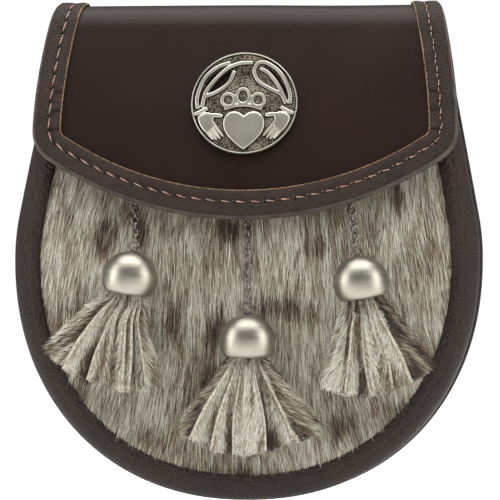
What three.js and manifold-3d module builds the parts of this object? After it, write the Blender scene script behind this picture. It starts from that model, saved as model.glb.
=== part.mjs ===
// Sporran pouch: a leather body with a hair-on hide front, a bound flap with a round badge, and three
// tassels in bell caps that hang on fine chains.
// Millimetres, +Z up. The front faces -Y, and +X is the right side as seen from the front.
// The origin is on the back face, midway between the two belt loops.
// A drop is measured down from the top of the flap's bend.

import * as THREE from 'three';
import { mergeVertices } from 'three/addons/utils/BufferGeometryUtils.js';
import Module from 'manifold-3d';

const wasm = await Module();
wasm.setup();

const topHeight = 60; // of the flap's bend above the belt line
const gap = 0.3; // between separate pieces

const body = {
  halfWidth: 95,
  widestDrop: 104,
  lowerHeight: 99.2, // from the widest place down to the bottom
  fullness: 2.17, // exponent of the lower outline, where 2 is an ellipse
  sideSlope: 0.185, // how fast the straight upper sides draw in
  mouthDrop: 16,
  mouthDepth: 21, // front to back at the open top
  fullDepth: 37,
  deepeningLength: 101,
  deepeningPower: 1.85,
};
const back = { thickness: 2.5, flange: 1.2 };
const gusset = { wall: 2, rimWidth: 11, rimRound: 6, lipTurn: 1.2 };
const front = { thickness: 2, edgeSetBack: 2.6, bulge: 7.5, bulgePower: 0.8 };

const flap = {
  thickness: 2.5,
  tailLength: 14, // sewn flat on the back, below the bend
  bendRadius: 14, // to the middle of the leather
  bendAngle: 158,
  frontLength: 82.1,
  frontTurn: 12.5, // how much the front curls on towards the vertical
  halfWidth: 86.8,
  topNarrowing: 8.2,
  narrowingPower: 1.7,
  cornerRadius: 15,
  lowerRadius: 142,
  crown: 3, // how far the lower corners lie back
  edgeInset: 1.3, // the leather's edge inside its binding's fold
};
const binding = { width: 11.5, leather: 1, startAngle: 22 };

const badge = { radius: 21.75, base: 1.3, rimHeight: 2.2, rimWidth: 1.3, relief: 2, heart: 2.6, drop: 42.2 };
const screw = { shank: 2, head: 5, headHeight: 1 };
const snap = { radius: 6.5, thickness: 4, drop: 66 };

const cap = { radius: 11.15, height: 17.6, widest: 10.6, mouth: 8, wall: 0.8, offHide: 1 };
const ring = { radius: 1.8, wire: 0.4 };
const chain = { radius: 1.6, sides: 8, steps: 12 };
const anchor = { radius: 3, thickness: 1.4 };
const tassel = { length: 41, neck: 6.2, depth: 8, overlap: 4 };

// Each tassel with its cap. x and drop are the cap's top; angles are in degrees, positive towards +X,
// and the anchor is the rivet that its chain hangs from.
const drops = [
  { side: 'left', x: -43.6, drop: 101.6, tilt: -9, fanMiddle: -15.8, fanHalf: 24.9, anchor: [-44.8, 72.5] },
  { side: 'middle', x: 2.4, drop: 126.8, tilt: 0, fanMiddle: 0, fanHalf: 36, anchor: [1.6, 79] },
  { side: 'right', x: 46.1, drop: 103.4, tilt: 10, fanMiddle: 9.9, fanHalf: 24.2, anchor: [42.4, 73] },
];

const loops = { x: 36, width: 24, height: 54, thickness: 2.5, standOff: 6, foot: 8 };

const rad = THREE.MathUtils.degToRad;
const at = (x, y, drop) => new THREE.Vector3(x, y, topHeight - drop);

const finish = {
  leather: { color: 0x3a2f2c, roughness: 0.5, metalness: 0 },
  binding: { color: 0x33261f, roughness: 0.6, metalness: 0 },
  hide: { color: 0xb3a998, roughness: 0.9, metalness: 0 },
  pewter: { color: 0x9a958b, roughness: 0.4, metalness: 1 },
  nickel: { color: 0xa8a29a, roughness: 0.32, metalness: 1 },
  chain: { color: 0x6c6a68, roughness: 0.35, metalness: 1 },
};

const sporran = new THREE.Group();

function addPiece(name, geometry, look, parent = sporran) {
  const mesh = new THREE.Mesh(geometry, new THREE.MeshStandardMaterial(look));
  mesh.name = name;
  parent.add(mesh);
  return mesh;
}

// ---- closed solids from points

function volumeOf(points, triangles) {
  const [a, b, c] = [new THREE.Vector3(), new THREE.Vector3(), new THREE.Vector3()];
  let sum = 0;
  for (let i = 0; i < triangles.length; i += 3) {
    a.copy(points[triangles[i]]);
    b.copy(points[triangles[i + 1]]);
    c.copy(points[triangles[i + 2]]);
    sum += a.dot(b.cross(c)) / 6;
  }
  return sum;
}

// Joins points that lie together, drops the triangles that this flattens, and turns the faces outwards.
function closedSolid(points, triangles) {
  const outward = volumeOf(points, triangles) > 0 ? triangles : [...triangles].reverse();
  const raw = new THREE.BufferGeometry();
  raw.setAttribute('position', new THREE.Float32BufferAttribute(points.flatMap((p) => p.toArray()), 3));
  raw.setIndex(outward);
  const merged = mergeVertices(raw, 1e-4);
  const index = [...merged.index.array];
  const kept = [];
  for (let i = 0; i < index.length; i += 3) {
    const [a, b, c] = index.slice(i, i + 3);
    if (a !== b && b !== c && c !== a) kept.push(a, b, c);
  }
  merged.setIndex(kept);
  merged.computeVertexNormals();
  return merged;
}

function quad(triangles, a, b, c, d) {
  triangles.push(a, b, c, a, c, d);
}

// A sheet between two grids of points, one for each face. With wrap, the columns run round.
function thickSheet(outer, inner, wrap = false) {
  const rows = outer.length;
  const columns = outer[0].length;
  const points = [...outer.flat(), ...inner.flat()];
  const under = rows * columns;
  const triangles = [];
  const spans = wrap ? columns : columns - 1;
  for (let r = 0; r < rows - 1; r++) {
    for (let c = 0; c < spans; c++) {
      const a = r * columns + c;
      const b = r * columns + ((c + 1) % columns);
      quad(triangles, a, b, b + columns, a + columns);
      quad(triangles, a + under, a + columns + under, b + columns + under, b + under);
    }
  }
  for (let c = 0; c < spans; c++) {
    const next = (c + 1) % columns;
    const last = (rows - 1) * columns;
    quad(triangles, c, c + under, next + under, next);
    quad(triangles, last + c, last + next, last + next + under, last + c + under);
  }
  if (!wrap) {
    for (let r = 0; r < rows - 1; r++) {
      const a = r * columns;
      const b = a + columns - 1;
      quad(triangles, a, a + columns, a + columns + under, a + under);
      quad(triangles, b, b + under, b + columns + under, b + columns);
    }
  }
  return closedSolid(points, triangles);
}

// A solid through closed sections of equally many points. flat is the section's own outline in 2-D.
function loft(sections, flat) {
  const count = flat.length;
  const points = sections.flat();
  const triangles = [];
  for (let s = 0; s < sections.length - 1; s++) {
    for (let i = 0; i < count; i++) {
      const a = s * count + i;
      const b = s * count + ((i + 1) % count);
      quad(triangles, a, b, b + count, a + count);
    }
  }
  const last = (sections.length - 1) * count;
  const cover = THREE.ShapeUtils.triangulateShape(flat, []);
  const turned = THREE.ShapeUtils.isClockWise(flat);
  for (const [a, b, c] of cover) {
    if (turned) {
      triangles.push(a, b, c, last + a, last + c, last + b);
    } else {
      triangles.push(a, c, b, last + a, last + b, last + c);
    }
  }
  return closedSolid(points, triangles);
}

// ---- joins and cuts

function toManifold(geometry) {
  const bare = geometry.clone();
  bare.deleteAttribute('normal');
  bare.deleteAttribute('uv');
  const merged = mergeVertices(bare, 1e-4);
  const vertProperties = new Float32Array(merged.attributes.position.array);
  const triVerts = new Uint32Array(merged.index.array);
  return new wasm.Manifold(new wasm.Mesh({ numProp: 3, vertProperties, triVerts }));
}

function fromManifold(solid) {
  const mesh = solid.getMesh();
  const geometry = new THREE.BufferGeometry();
  geometry.setAttribute('position', new THREE.BufferAttribute(mesh.vertProperties, 3));
  geometry.setIndex(new THREE.BufferAttribute(mesh.triVerts, 1));
  geometry.computeVertexNormals();
  return geometry;
}

const joined = (parts) => fromManifold(parts.map(toManifold).reduce((all, next) => all.add(next)));
const cut = (geometry, tool) => fromManifold(toManifold(geometry).subtract(toManifold(tool)));

// ---- body

function bodyDepth(drop) {
  const down = THREE.MathUtils.clamp((drop - body.mouthDrop) / body.deepeningLength, 0, 1);
  return body.fullDepth - (body.fullDepth - body.mouthDepth) * (1 - down) ** body.deepeningPower;
}

// One side of the body's outline, from the mouth down to the bottom, as points with outward normals.
function bodySide() {
  const slope = Math.atan(body.sideSlope);
  const round = body.halfWidth;
  const joinDrop = body.widestDrop - round * Math.sin(slope);
  const joinX = round * Math.cos(slope);
  const side = [];
  const straightSteps = 4;
  for (let i = 0; i < straightSteps; i++) {
    const drop = body.mouthDrop + ((joinDrop - body.mouthDrop) * i) / straightSteps;
    const x = joinX - body.sideSlope * (joinDrop - drop);
    side.push({ x, drop, nx: Math.cos(slope), nd: -Math.sin(slope) });
  }
  const shoulderSteps = 2;
  for (let i = 0; i < shoulderSteps; i++) {
    const turn = slope * (1 - i / shoulderSteps);
    const [nx, nd] = [Math.cos(turn), -Math.sin(turn)];
    side.push({ x: round * nx, drop: body.widestDrop + round * nd, nx, nd });
  }
  const lowerSteps = 18;
  const power = 2 / body.fullness;
  for (let i = 0; i <= lowerSteps; i++) {
    const turn = (Math.PI / 2) * (i / lowerSteps);
    const across = Math.max(Math.cos(turn), 0) ** power;
    const down = Math.sin(turn) ** power;
    const normal = new THREE.Vector2(
      across ** (body.fullness - 1) / body.halfWidth,
      down ** (body.fullness - 1) / body.lowerHeight,
    ).normalize();
    side.push({
      x: body.halfWidth * across,
      drop: body.widestDrop + body.lowerHeight * down,
      nx: normal.x,
      nd: normal.y,
    });
  }
  return side;
}

// The whole U of the outline, from the left end of the mouth round to the right, moved in by inset.
function bodyPath(inset) {
  const right = bodySide();
  const left = right.map((p) => ({ ...p, x: -p.x, nx: -p.nx }));
  const whole = [...left, ...right.slice(0, -1).reverse()];
  return whole.map((p) => ({ ...p, x: p.x - inset * p.nx, drop: p.drop - inset * p.nd }));
}

// The outline with its straight top, closed.
function bodyLoop(inset, topSteps = 8) {
  const path = bodyPath(inset);
  const [first, last] = [path[0], path[path.length - 1]];
  const top = [];
  for (let i = 1; i < topSteps; i++) {
    top.push({ x: THREE.MathUtils.lerp(last.x, first.x, i / topSteps), drop: first.drop });
  }
  return [...path, ...top];
}

function frontFaceY(x, drop, share) {
  const edge = bodyDepth(drop) - front.edgeSetBack;
  return -(edge + front.bulge * Math.max(1 - share * share, 0) ** front.bulgePower);
}

// How far out a place lies between the middle of the front panel and its edge.
function shareOut(x, drop, loop) {
  const angle = Math.atan2(drop - body.widestDrop, x);
  let nearest = loop[0];
  let best = Infinity;
  for (const p of loop) {
    const off = Math.atan2(p.drop - body.widestDrop, p.x) - angle;
    const miss = Math.abs(Math.atan2(Math.sin(off), Math.cos(off)));
    if (miss < best) [best, nearest] = [miss, p];
  }
  const reach = Math.hypot(nearest.x, nearest.drop - body.widestDrop);
  return Math.hypot(x, drop - body.widestDrop) / reach;
}

const panelLoop = bodyLoop(gusset.rimWidth + gap);
const hideY = (x, drop) => frontFaceY(x, drop, shareOut(x, drop, panelLoop));

function frontPanel() {
  const shares = [0, 0.3, 0.55, 0.75, 0.9, 1];
  const grid = (offset) => shares.map((share) => panelLoop.map((p) => {
    const drop = THREE.MathUtils.lerp(body.widestDrop, p.drop, share);
    return at(p.x * share, frontFaceY(p.x * share, drop, share) + offset, drop);
  }));
  return thickSheet(grid(0), grid(front.thickness), true);
}

function backPanel() {
  const loop = bodyLoop(-back.flange);
  const rear = [loop.map(() => at(0, 0, body.widestDrop)), loop.map((p) => at(p.x, 0, p.drop))];
  const face = rear.map((row) => row.map((p) => p.clone().setY(-back.thickness)));
  return thickSheet(face, rear, true);
}

// The gusset's section at one place: inset from the outline, and distance forward of the back face.
function gussetSection(depth) {
  const { wall, rimWidth, rimRound, lipTurn } = gusset;
  const section = [[0, back.thickness + gap]];
  const steps = 4;
  for (let i = 0; i <= steps; i++) {
    const turn = (Math.PI / 2) * (i / steps);
    section.push([rimRound * (1 - Math.cos(turn)), depth - rimRound * (1 - Math.sin(turn))]);
  }
  section.push([rimWidth - 1.5, depth - 0.3], [rimWidth, depth - lipTurn]);
  section.push([rimWidth, depth - lipTurn - wall], [rimWidth - 2.2, depth - wall - 0.3]);
  const inner = rimRound - wall;
  for (let i = steps; i >= 0; i--) {
    const turn = (Math.PI / 2) * (i / steps);
    section.push([rimRound - inner * Math.cos(turn), depth - rimRound + inner * Math.sin(turn)]);
  }
  section.push([wall, back.thickness + gap]);
  return section;
}

function gussetBand() {
  const sections = bodyPath(0).map((p) => gussetSection(bodyDepth(p.drop)).map(
    ([inset, forward]) => at(p.x - inset * p.nx, -forward, p.drop - inset * p.nd),
  ));
  return loft(sections, gussetSection(body.fullDepth).map(([a, b]) => new THREE.Vector2(a, b)));
}

// ---- flap: s is the length along its middle, from the end of the tail over the bend and down the front

const bendStart = flap.tailLength;
const frontStart = bendStart + flap.bendRadius * rad(flap.bendAngle);
const flapEnd = frontStart + flap.frontLength;
const tailY = gap + flap.thickness / 2;
const bendCentre = { y: tailY - flap.bendRadius, drop: flap.bendRadius + flap.thickness / 2 };
const frontRadius = flap.frontLength / rad(flap.frontTurn);

// The middle line of the leather at s: its place, and its angle, which turns from 0, going up the back.
function flapLine(s) {
  if (s <= bendStart) {
    return { y: tailY, drop: bendCentre.drop + bendStart - s, angle: 0 };
  }
  const bend = Math.min((s - bendStart) / flap.bendRadius, rad(flap.bendAngle));
  const place = {
    y: bendCentre.y + flap.bendRadius * Math.cos(bend),
    drop: bendCentre.drop - flap.bendRadius * Math.sin(bend),
    angle: bend,
  };
  if (s <= frontStart) return place;
  const angle = bend + (s - frontStart) / frontRadius;
  return {
    y: place.y + frontRadius * (Math.cos(angle) - Math.cos(bend)),
    drop: place.drop - frontRadius * (Math.sin(angle) - Math.sin(bend)),
    angle,
  };
}

// A point of the flap, off its middle by the given height along the outward normal.
function flapPoint(x, s, height) {
  const line = flapLine(s);
  const down = THREE.MathUtils.clamp((s - frontStart) / flap.frontLength, 0, 1);
  const lieBack = flap.crown * down ** 1.5 * (x / flap.halfWidth) ** 2;
  return at(
    x,
    line.y + lieBack + height * Math.cos(line.angle),
    line.drop - height * Math.sin(line.angle),
  );
}

const cornerS = (() => {
  const reach = flap.lowerRadius - flap.cornerRadius;
  const across = flap.halfWidth - flap.cornerRadius;
  return flapEnd - flap.lowerRadius + Math.sqrt(reach ** 2 - across ** 2);
})();
const cornerTurn = Math.acos((flap.halfWidth - flap.cornerRadius) / (flap.lowerRadius - flap.cornerRadius));

function flapHalfWidth(s) {
  const topS = bendStart + (flap.bendRadius * Math.PI) / 2;
  const up = THREE.MathUtils.clamp((cornerS - s) / (cornerS - topS), 0, 1);
  return flap.halfWidth - flap.topNarrowing * up ** flap.narrowingPower;
}

// The flap's rounded lower edge from the left corner to the right, moved in by inset, as [x, s].
function lowerEdge(inset, cornerSteps = 5, arcSteps = 18) {
  const edge = [];
  const radius = flap.cornerRadius - inset;
  const centreX = flap.halfWidth - flap.cornerRadius;
  for (let i = 0; i < cornerSteps; i++) {
    const turn = cornerTurn * (i / cornerSteps);
    edge.push([-centreX - radius * Math.cos(turn), cornerS + radius * Math.sin(turn)]);
  }
  const arc = flap.lowerRadius - inset;
  const half = Math.PI / 2 - cornerTurn;
  for (let i = 0; i <= arcSteps; i++) {
    const turn = -half + (2 * half * i) / arcSteps;
    edge.push([arc * Math.sin(turn), flapEnd - flap.lowerRadius + arc * Math.cos(turn)]);
  }
  for (let i = cornerSteps - 1; i >= 0; i--) {
    edge.push([-edge[i][0], edge[i][1]]);
  }
  return edge;
}

// Places down the flap's side, close together where it bends.
function sideStations(from) {
  const stations = [];
  const bendSteps = 8;
  for (let i = 0; i <= bendSteps; i++) {
    const s = THREE.MathUtils.lerp(bendStart, frontStart, i / bendSteps);
    if (s > from) stations.push(s);
  }
  const frontSteps = 4;
  for (let i = 1; i < frontSteps; i++) {
    stations.push(THREE.MathUtils.lerp(frontStart, cornerS, i / frontSteps));
  }
  return [from, ...stations];
}

function flapLeather() {
  const edge = lowerEdge(flap.edgeInset);
  const widest = flap.halfWidth - flap.edgeInset;
  const rows = [0, ...sideStations(bendStart - 1).slice(1)].map((s) => edge.map(
    ([x]) => [(x * (flapHalfWidth(s) - flap.edgeInset)) / widest, s],
  ));
  const lowerRows = 4;
  for (let i = 0; i <= lowerRows; i++) {
    rows.push(edge.map(([x, s]) => [x, THREE.MathUtils.lerp(cornerS, s, i / lowerRows)]));
  }
  const face = (height) => rows.map((row) => row.map(([x, s]) => flapPoint(x, s, height)));
  const sheet = thickSheet(face(flap.thickness / 2), face(-flap.thickness / 2));
  const bore = new THREE.CylinderGeometry(screw.shank + gap, screw.shank + gap, 4 * flap.thickness, 20);
  return cut(sheet, onFlap(bore.rotateX(Math.PI / 2)));
}

function bindingStrip() {
  const inner = flap.thickness / 2 + gap;
  const outer = inner + binding.leather;
  const half = [[binding.width, outer], [1.2, outer], [0.35, outer - 0.6], [0, outer - 1.5]];
  const fold = flap.edgeInset - gap;
  const section = [
    ...half,
    ...half.map(([a, n]) => [a, -n]).reverse(),
    [binding.width, -inner],
    [fold, -inner],
    [fold, inner],
    [binding.width, inner],
  ];
  const start = bendStart + flap.bendRadius * rad(binding.startAngle);
  const sides = sideStations(start);
  const place = (inset) => [
    ...sides.map((s) => [-(flapHalfWidth(s) - inset), s]),
    ...lowerEdge(inset),
    ...sides.map((s) => [flapHalfWidth(s) - inset, s]).reverse(),
  ];
  const columns = section.map(([inset, height]) => place(inset).map(([x, s]) => flapPoint(x, s, height)));
  const sections = columns[0].map((_, i) => columns.map((column) => column[i]));
  return loft(sections, section.map(([a, n]) => new THREE.Vector2(a, n)));
}

// Turns a piece modelled face up on the XY plane so that it lies on the flap's outside, at the badge.
function badgeS() {
  let s = frontStart;
  while (flapLine(s).drop < badge.drop) s += 0.05;
  return s;
}

function onFlap(geometry, height = 0) {
  const s = badgeS();
  const centre = flapPoint(0, s, height);
  return geometry.rotateX(flapLine(s).angle - Math.PI / 2).translate(centre.x, centre.y, centre.z);
}

// ---- badge: a heart held by two cuffed hands, a crown above it, and interlaced bands

function stroke(points, width, bottom, top) {
  const curve = new THREE.CatmullRomCurve3(points.map(([x, y]) => new THREE.Vector3(x, y, 0)));
  const steps = 3 * (points.length - 1);
  const [leftSide, rightSide] = [[], []];
  for (let i = 0; i <= steps; i++) {
    const p = curve.getPoint(i / steps);
    const t = curve.getTangent(i / steps);
    leftSide.push(new THREE.Vector2(p.x - (t.y * width) / 2, p.y + (t.x * width) / 2));
    rightSide.push(new THREE.Vector2(p.x + (t.y * width) / 2, p.y - (t.x * width) / 2));
  }
  return raised(new THREE.Shape([...leftSide, ...rightSide.reverse()]), bottom, top);
}

function raised(shape, bottom, top, curveSegments = 8) {
  const solid = new THREE.ExtrudeGeometry(shape, { depth: top - bottom, bevelEnabled: false, curveSegments });
  return solid.translate(0, 0, bottom);
}

function heartShape() {
  const heart = new THREE.Shape();
  heart.moveTo(0, -20.2);
  heart.bezierCurveTo(-3.5, -17.2, -8.6, -13.2, -8.4, -8.4);
  heart.bezierCurveTo(-8.2, -4.2, -3, -1.6, 0, -6);
  heart.bezierCurveTo(3, -1.6, 8.2, -4.2, 8.4, -8.4);
  heart.bezierCurveTo(8.6, -13.2, 3.5, -17.2, 0, -20.2);
  return heart;
}

function handParts(bottom, top) {
  const palm = new THREE.Shape([[-19.4, -6.4], [-14.6, -3.6], [-11.6, -4.8], [-12.4, -8.2], [-10.6, -12.6],
    [-13.8, -14.4], [-16.6, -12.4], [-18.6, -9.4]].map(([x, y]) => new THREE.Vector2(x, y)));
  const fingers = [
    [[-12.4, -6.6], [-7.2, -14]],
    [[-13.2, -9.4], [-8.6, -15.2]],
    [[-14.4, -11], [-10.2, -15.8]],
  ];
  return [
    raised(palm, bottom, top),
    ...fingers.map((finger) => stroke(finger, 1.3, bottom, top)),
    stroke([[-13, -4.8], [-8.4, -5.4]], 1.3, bottom, top),
    stroke([[-20, -5], [-14.4, -2]], 1.4, bottom, top),
  ];
}

function badgeRelief() {
  const [bottom, top] = [badge.base - 0.4, badge.relief];
  const hands = handParts(bottom, top);
  const others = handParts(bottom, top).map((part) => part.rotateY(Math.PI).translate(0, 0, bottom + top));
  const wire = 1.1;
  const crownRings = [
    { x: -6, y: 1.1, halfWidth: 2.9, halfHeight: 3.1 },
    { x: -0.2, y: 2.6, halfWidth: 3, halfHeight: 3.5 },
    { x: 5.7, y: 1.1, halfWidth: 2.9, halfHeight: 3.1 },
  ].map(({ x, y, halfWidth, halfHeight }) => {
    const fullTurn = 2 * Math.PI;
    const outline = new THREE.Shape().absellipse(x, y, halfWidth, halfHeight, 0, fullTurn);
    const hole = new THREE.Path().absellipse(x, y, halfWidth - wire, halfHeight - wire, 0, fullTurn);
    outline.holes.push(hole);
    return raised(outline, bottom, top, 6);
  });
  const bands = [
    [[-18.9, -3], [-19.2, 2.4], [-16.2, 11.3], [-10.8, 15.6], [-5.6, 17.6]],
    [[-17.2, -2], [-14.8, 6.8], [-7, 15.8], [3.4, 17.4]],
    [[-15.6, 2.8], [-8.2, 6], [-4, 14]],
    [[18.9, -1], [18.2, 5.6], [13.6, 13.4], [6.8, 17.6], [3.6, 13], [8.4, 7], [15.6, 3], [17, -0.6]],
    [[6.4, 15.6], [12.6, 8.8], [17, -0.6]],
    [[-7, -2.6], [-0.2, -0.6], [6.6, -2.6]],
  ].map((band) => stroke(band, 1.4, bottom, top));
  return [...hands, ...others, ...crownRings, ...bands, raised(heartShape(), bottom, badge.heart, 5)];
}

function badgeSolid() {
  const { radius, base, rimHeight, rimWidth } = badge;
  const profile = [
    [0, 0], [radius - 0.5, 0], [radius, 0.5], [radius, rimHeight - 0.4], [radius - 0.4, rimHeight],
    [radius - rimWidth, rimHeight], [radius - rimWidth - 0.4, base], [0, base],
  ].map(([r, z]) => new THREE.Vector2(r, z));
  const disc = new THREE.LatheGeometry(profile, 48).rotateX(Math.PI / 2);
  return joined([disc, ...badgeRelief()]);
}

function addBadge() {
  const outside = flap.thickness / 2 + gap;
  addPiece('concho', onFlap(badgeSolid(), outside), finish.pewter);
  const through = flap.thickness + 2 * gap;
  const profile = [
    [0, through - gap], [screw.shank, through - gap], [screw.shank, 0],
    [screw.head, 0], [screw.head, -screw.headHeight], [0, -screw.headHeight],
  ].map(([r, z]) => new THREE.Vector2(r, z)).reverse();
  const fixing = new THREE.LatheGeometry(profile, 20).rotateX(Math.PI / 2);
  addPiece('concho_screw', onFlap(fixing, -flap.thickness / 2 - gap), finish.nickel);
}

// Seats a disc, modelled about the Y axis, on the outside of the hide.
function seatOnHide(disc, x, drop, thickness) {
  const step = 2;
  const acrossSlope = (hideY(x + step, drop) - hideY(x - step, drop)) / (2 * step);
  const downSlope = (hideY(x, drop + step) - hideY(x, drop - step)) / (2 * step);
  const outward = new THREE.Vector3(acrossSlope, -1, -downSlope).normalize();
  disc.quaternion.setFromUnitVectors(new THREE.Vector3(0, -1, 0), outward);
  disc.position.copy(at(x, hideY(x, drop), drop)).addScaledVector(outward, gap + thickness / 2);
}

function addSnap() {
  const geometry = new THREE.CylinderGeometry(snap.radius, snap.radius, snap.thickness, 24);
  seatOnHide(addPiece('flap_snap', geometry, finish.nickel), 0, snap.drop, snap.thickness);
}

// ---- tassels, caps and chains

// The cap's wall in section: two quarter ellipses that meet at its widest place.
function capProfile(inset, steps = 5) {
  const points = [];
  for (let i = 0; i < steps; i++) {
    const turn = (Math.PI / 2) * (i / steps);
    points.push([(cap.radius - inset) * Math.sin(turn), -cap.widest + (cap.widest - inset) * Math.cos(turn)]);
  }
  const curl = cap.radius - cap.mouth;
  for (let i = 0; i <= steps; i++) {
    const turn = (Math.PI / 2) * (i / steps);
    points.push([
      cap.mouth - inset + curl * Math.cos(turn),
      -cap.widest - (cap.height - cap.widest) * Math.sin(turn),
    ]);
  }
  return points;
}

function capDome() {
  const profile = [...capProfile(0), ...capProfile(cap.wall).reverse()];
  const solid = new THREE.LatheGeometry(profile.map(([r, z]) => new THREE.Vector2(r, z)).reverse(), 24);
  return solid.rotateX(Math.PI / 2);
}

// A fan of hide strips, as one solid round its outer form. It spreads from a point inside the cap.
function tasselForm({ fanMiddle, fanHalf, tilt }) {
  const fan = rad(fanHalf);
  const reach = tassel.neck / Math.tan(fan);
  const radii = [reach - tassel.overlap, reach, reach + 6, reach + 14, reach + 25];
  radii.push(reach + tassel.length - 5, reach + tassel.length);
  const sectionSteps = 18;
  const round = 2 / 2.6;
  const unit = Array.from({ length: sectionSteps }, (_, i) => {
    const turn = (2 * Math.PI * i) / sectionSteps;
    const [c, s] = [Math.cos(turn), Math.sin(turn)];
    return new THREE.Vector2(Math.sign(c) * Math.abs(c) ** round, Math.sign(s) * Math.abs(s) ** round);
  });
  const apexX = -reach * Math.sin(rad(tilt));
  const apexZ = reach * Math.cos(rad(tilt));
  const sections = radii.map((radius, k) => {
    const spread = THREE.MathUtils.smoothstep(radius, reach - 1, reach + 12);
    const middle = rad(THREE.MathUtils.lerp(tilt, fanMiddle, spread));
    const rounding = k === radii.length - 1 ? 0.75 : 1;
    const depth = THREE.MathUtils.lerp(tassel.neck, tassel.depth, spread) * rounding;
    const half = k === radii.length - 1 ? fan * 0.95 : fan;
    return unit.map((u) => {
      const angle = middle + half * u.x;
      const [x, z] = [apexX + radius * Math.sin(angle), apexZ - radius * Math.cos(angle)];
      return new THREE.Vector3(x, depth * u.y, z);
    });
  });
  return loft(sections, unit);
}

function addDrop(drop) {
  const axisY = hideY(drop.x, drop.drop + cap.widest) - cap.offHide - cap.radius;
  const hanging = new THREE.Group();
  hanging.position.copy(at(drop.x, axisY, drop.drop));
  sporran.add(hanging);
  addPiece(`cap_${drop.side}`, capDome(), finish.nickel, hanging).rotation.y = -rad(drop.tilt);
  const depthAxis = new THREE.Vector3(0, 1, 0);
  const mouth = new THREE.Vector3(0, 0, -cap.height).applyAxisAngle(depthAxis, -rad(drop.tilt));
  addPiece(`tassel_${drop.side}`, tasselForm(drop), finish.hide, hanging).position.copy(mouth);
  const ringHeight = ring.radius + ring.wire + gap;
  const link = new THREE.TorusGeometry(ring.radius, ring.wire, 6, 18).rotateX(Math.PI / 2);
  addPiece(`cap_ring_${drop.side}`, link, finish.chain, hanging).position.z = ringHeight;
  const rivet = new THREE.CylinderGeometry(anchor.radius, anchor.radius, anchor.thickness, 16);
  const head = addPiece(`chain_anchor_${drop.side}`, rivet, finish.nickel);
  seatOnHide(head, ...drop.anchor, anchor.thickness);
  addPiece(`chain_${drop.side}`, chainTube(drop, axisY), finish.chain);
}

// The chain hangs from below its rivet, lies on the hide behind the flap's edge, and leans out to its cap.
function chainTube(drop, axisY) {
  const [anchorX, anchorDrop] = drop.anchor;
  const start = anchorDrop + anchor.radius + gap + 0.4;
  const end = drop.drop - 2 * (ring.radius + ring.wire) - 2 * gap - 0.4;
  const onHide = hideY(anchorX, start) - gap - chain.radius;
  const via = (across, out, down) => at(
    THREE.MathUtils.lerp(anchorX, drop.x, across),
    THREE.MathUtils.lerp(onHide, axisY, out),
    THREE.MathUtils.lerp(start, end, down),
  );
  const places = [via(0, 0, 0), via(0.2, 0.1, 0.25), via(0.7, 0.6, 0.65), via(1, 1, 1)];
  const route = new THREE.CatmullRomCurve3(places);
  const section = new THREE.Shape(Array.from({ length: chain.sides }, (_, i) => {
    const turn = (2 * Math.PI * i) / chain.sides;
    return new THREE.Vector2(chain.radius * Math.cos(turn), chain.radius * Math.sin(turn));
  }));
  return new THREE.ExtrudeGeometry(section, { steps: chain.steps, extrudePath: route, bevelEnabled: false });
}

// ---- belt loops: a strip sewn down at both ends, standing off the back between them

function beltLoop() {
  const { height, thickness, standOff, foot } = loops;
  const half = height / 2;
  const outline = [
    [half, 0], [half, thickness], [half - foot, thickness], [half - foot - 4, standOff + thickness],
    [-half + foot + 4, standOff + thickness], [-half + foot, thickness], [-half, thickness], [-half, 0],
    [-half + foot + 1, 0], [-half + foot + 5, standOff], [half - foot - 5, standOff], [half - foot - 1, 0],
  ];
  const shape = new THREE.Shape(outline.map(([z, y]) => new THREE.Vector2(y, z)));
  const strip = new THREE.ExtrudeGeometry(shape, { depth: loops.width, bevelEnabled: false });
  const turn = new THREE.Matrix4().set(0, 0, 1, 0, 1, 0, 0, 0, 0, 1, 0, 0, 0, 0, 0, 1);
  return strip.translate(0, 0, -loops.width / 2).applyMatrix4(turn);
}

addPiece('back_panel', backPanel(), finish.leather);
addPiece('gusset', gussetBand(), finish.leather);
addPiece('front_panel', frontPanel(), finish.hide);
addPiece('flap', flapLeather(), finish.leather);
addPiece('flap_binding', bindingStrip(), finish.binding);
addBadge();
addSnap();
drops.forEach(addDrop);
for (const [side, x] of [['left', -loops.x], ['right', loops.x]]) {
  addPiece(`belt_loop_${side}`, beltLoop(), finish.leather).position.set(x, gap, 0);
}

export default sporran;
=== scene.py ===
import math

import bpy
import numpy as np
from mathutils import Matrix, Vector, noise


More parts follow.
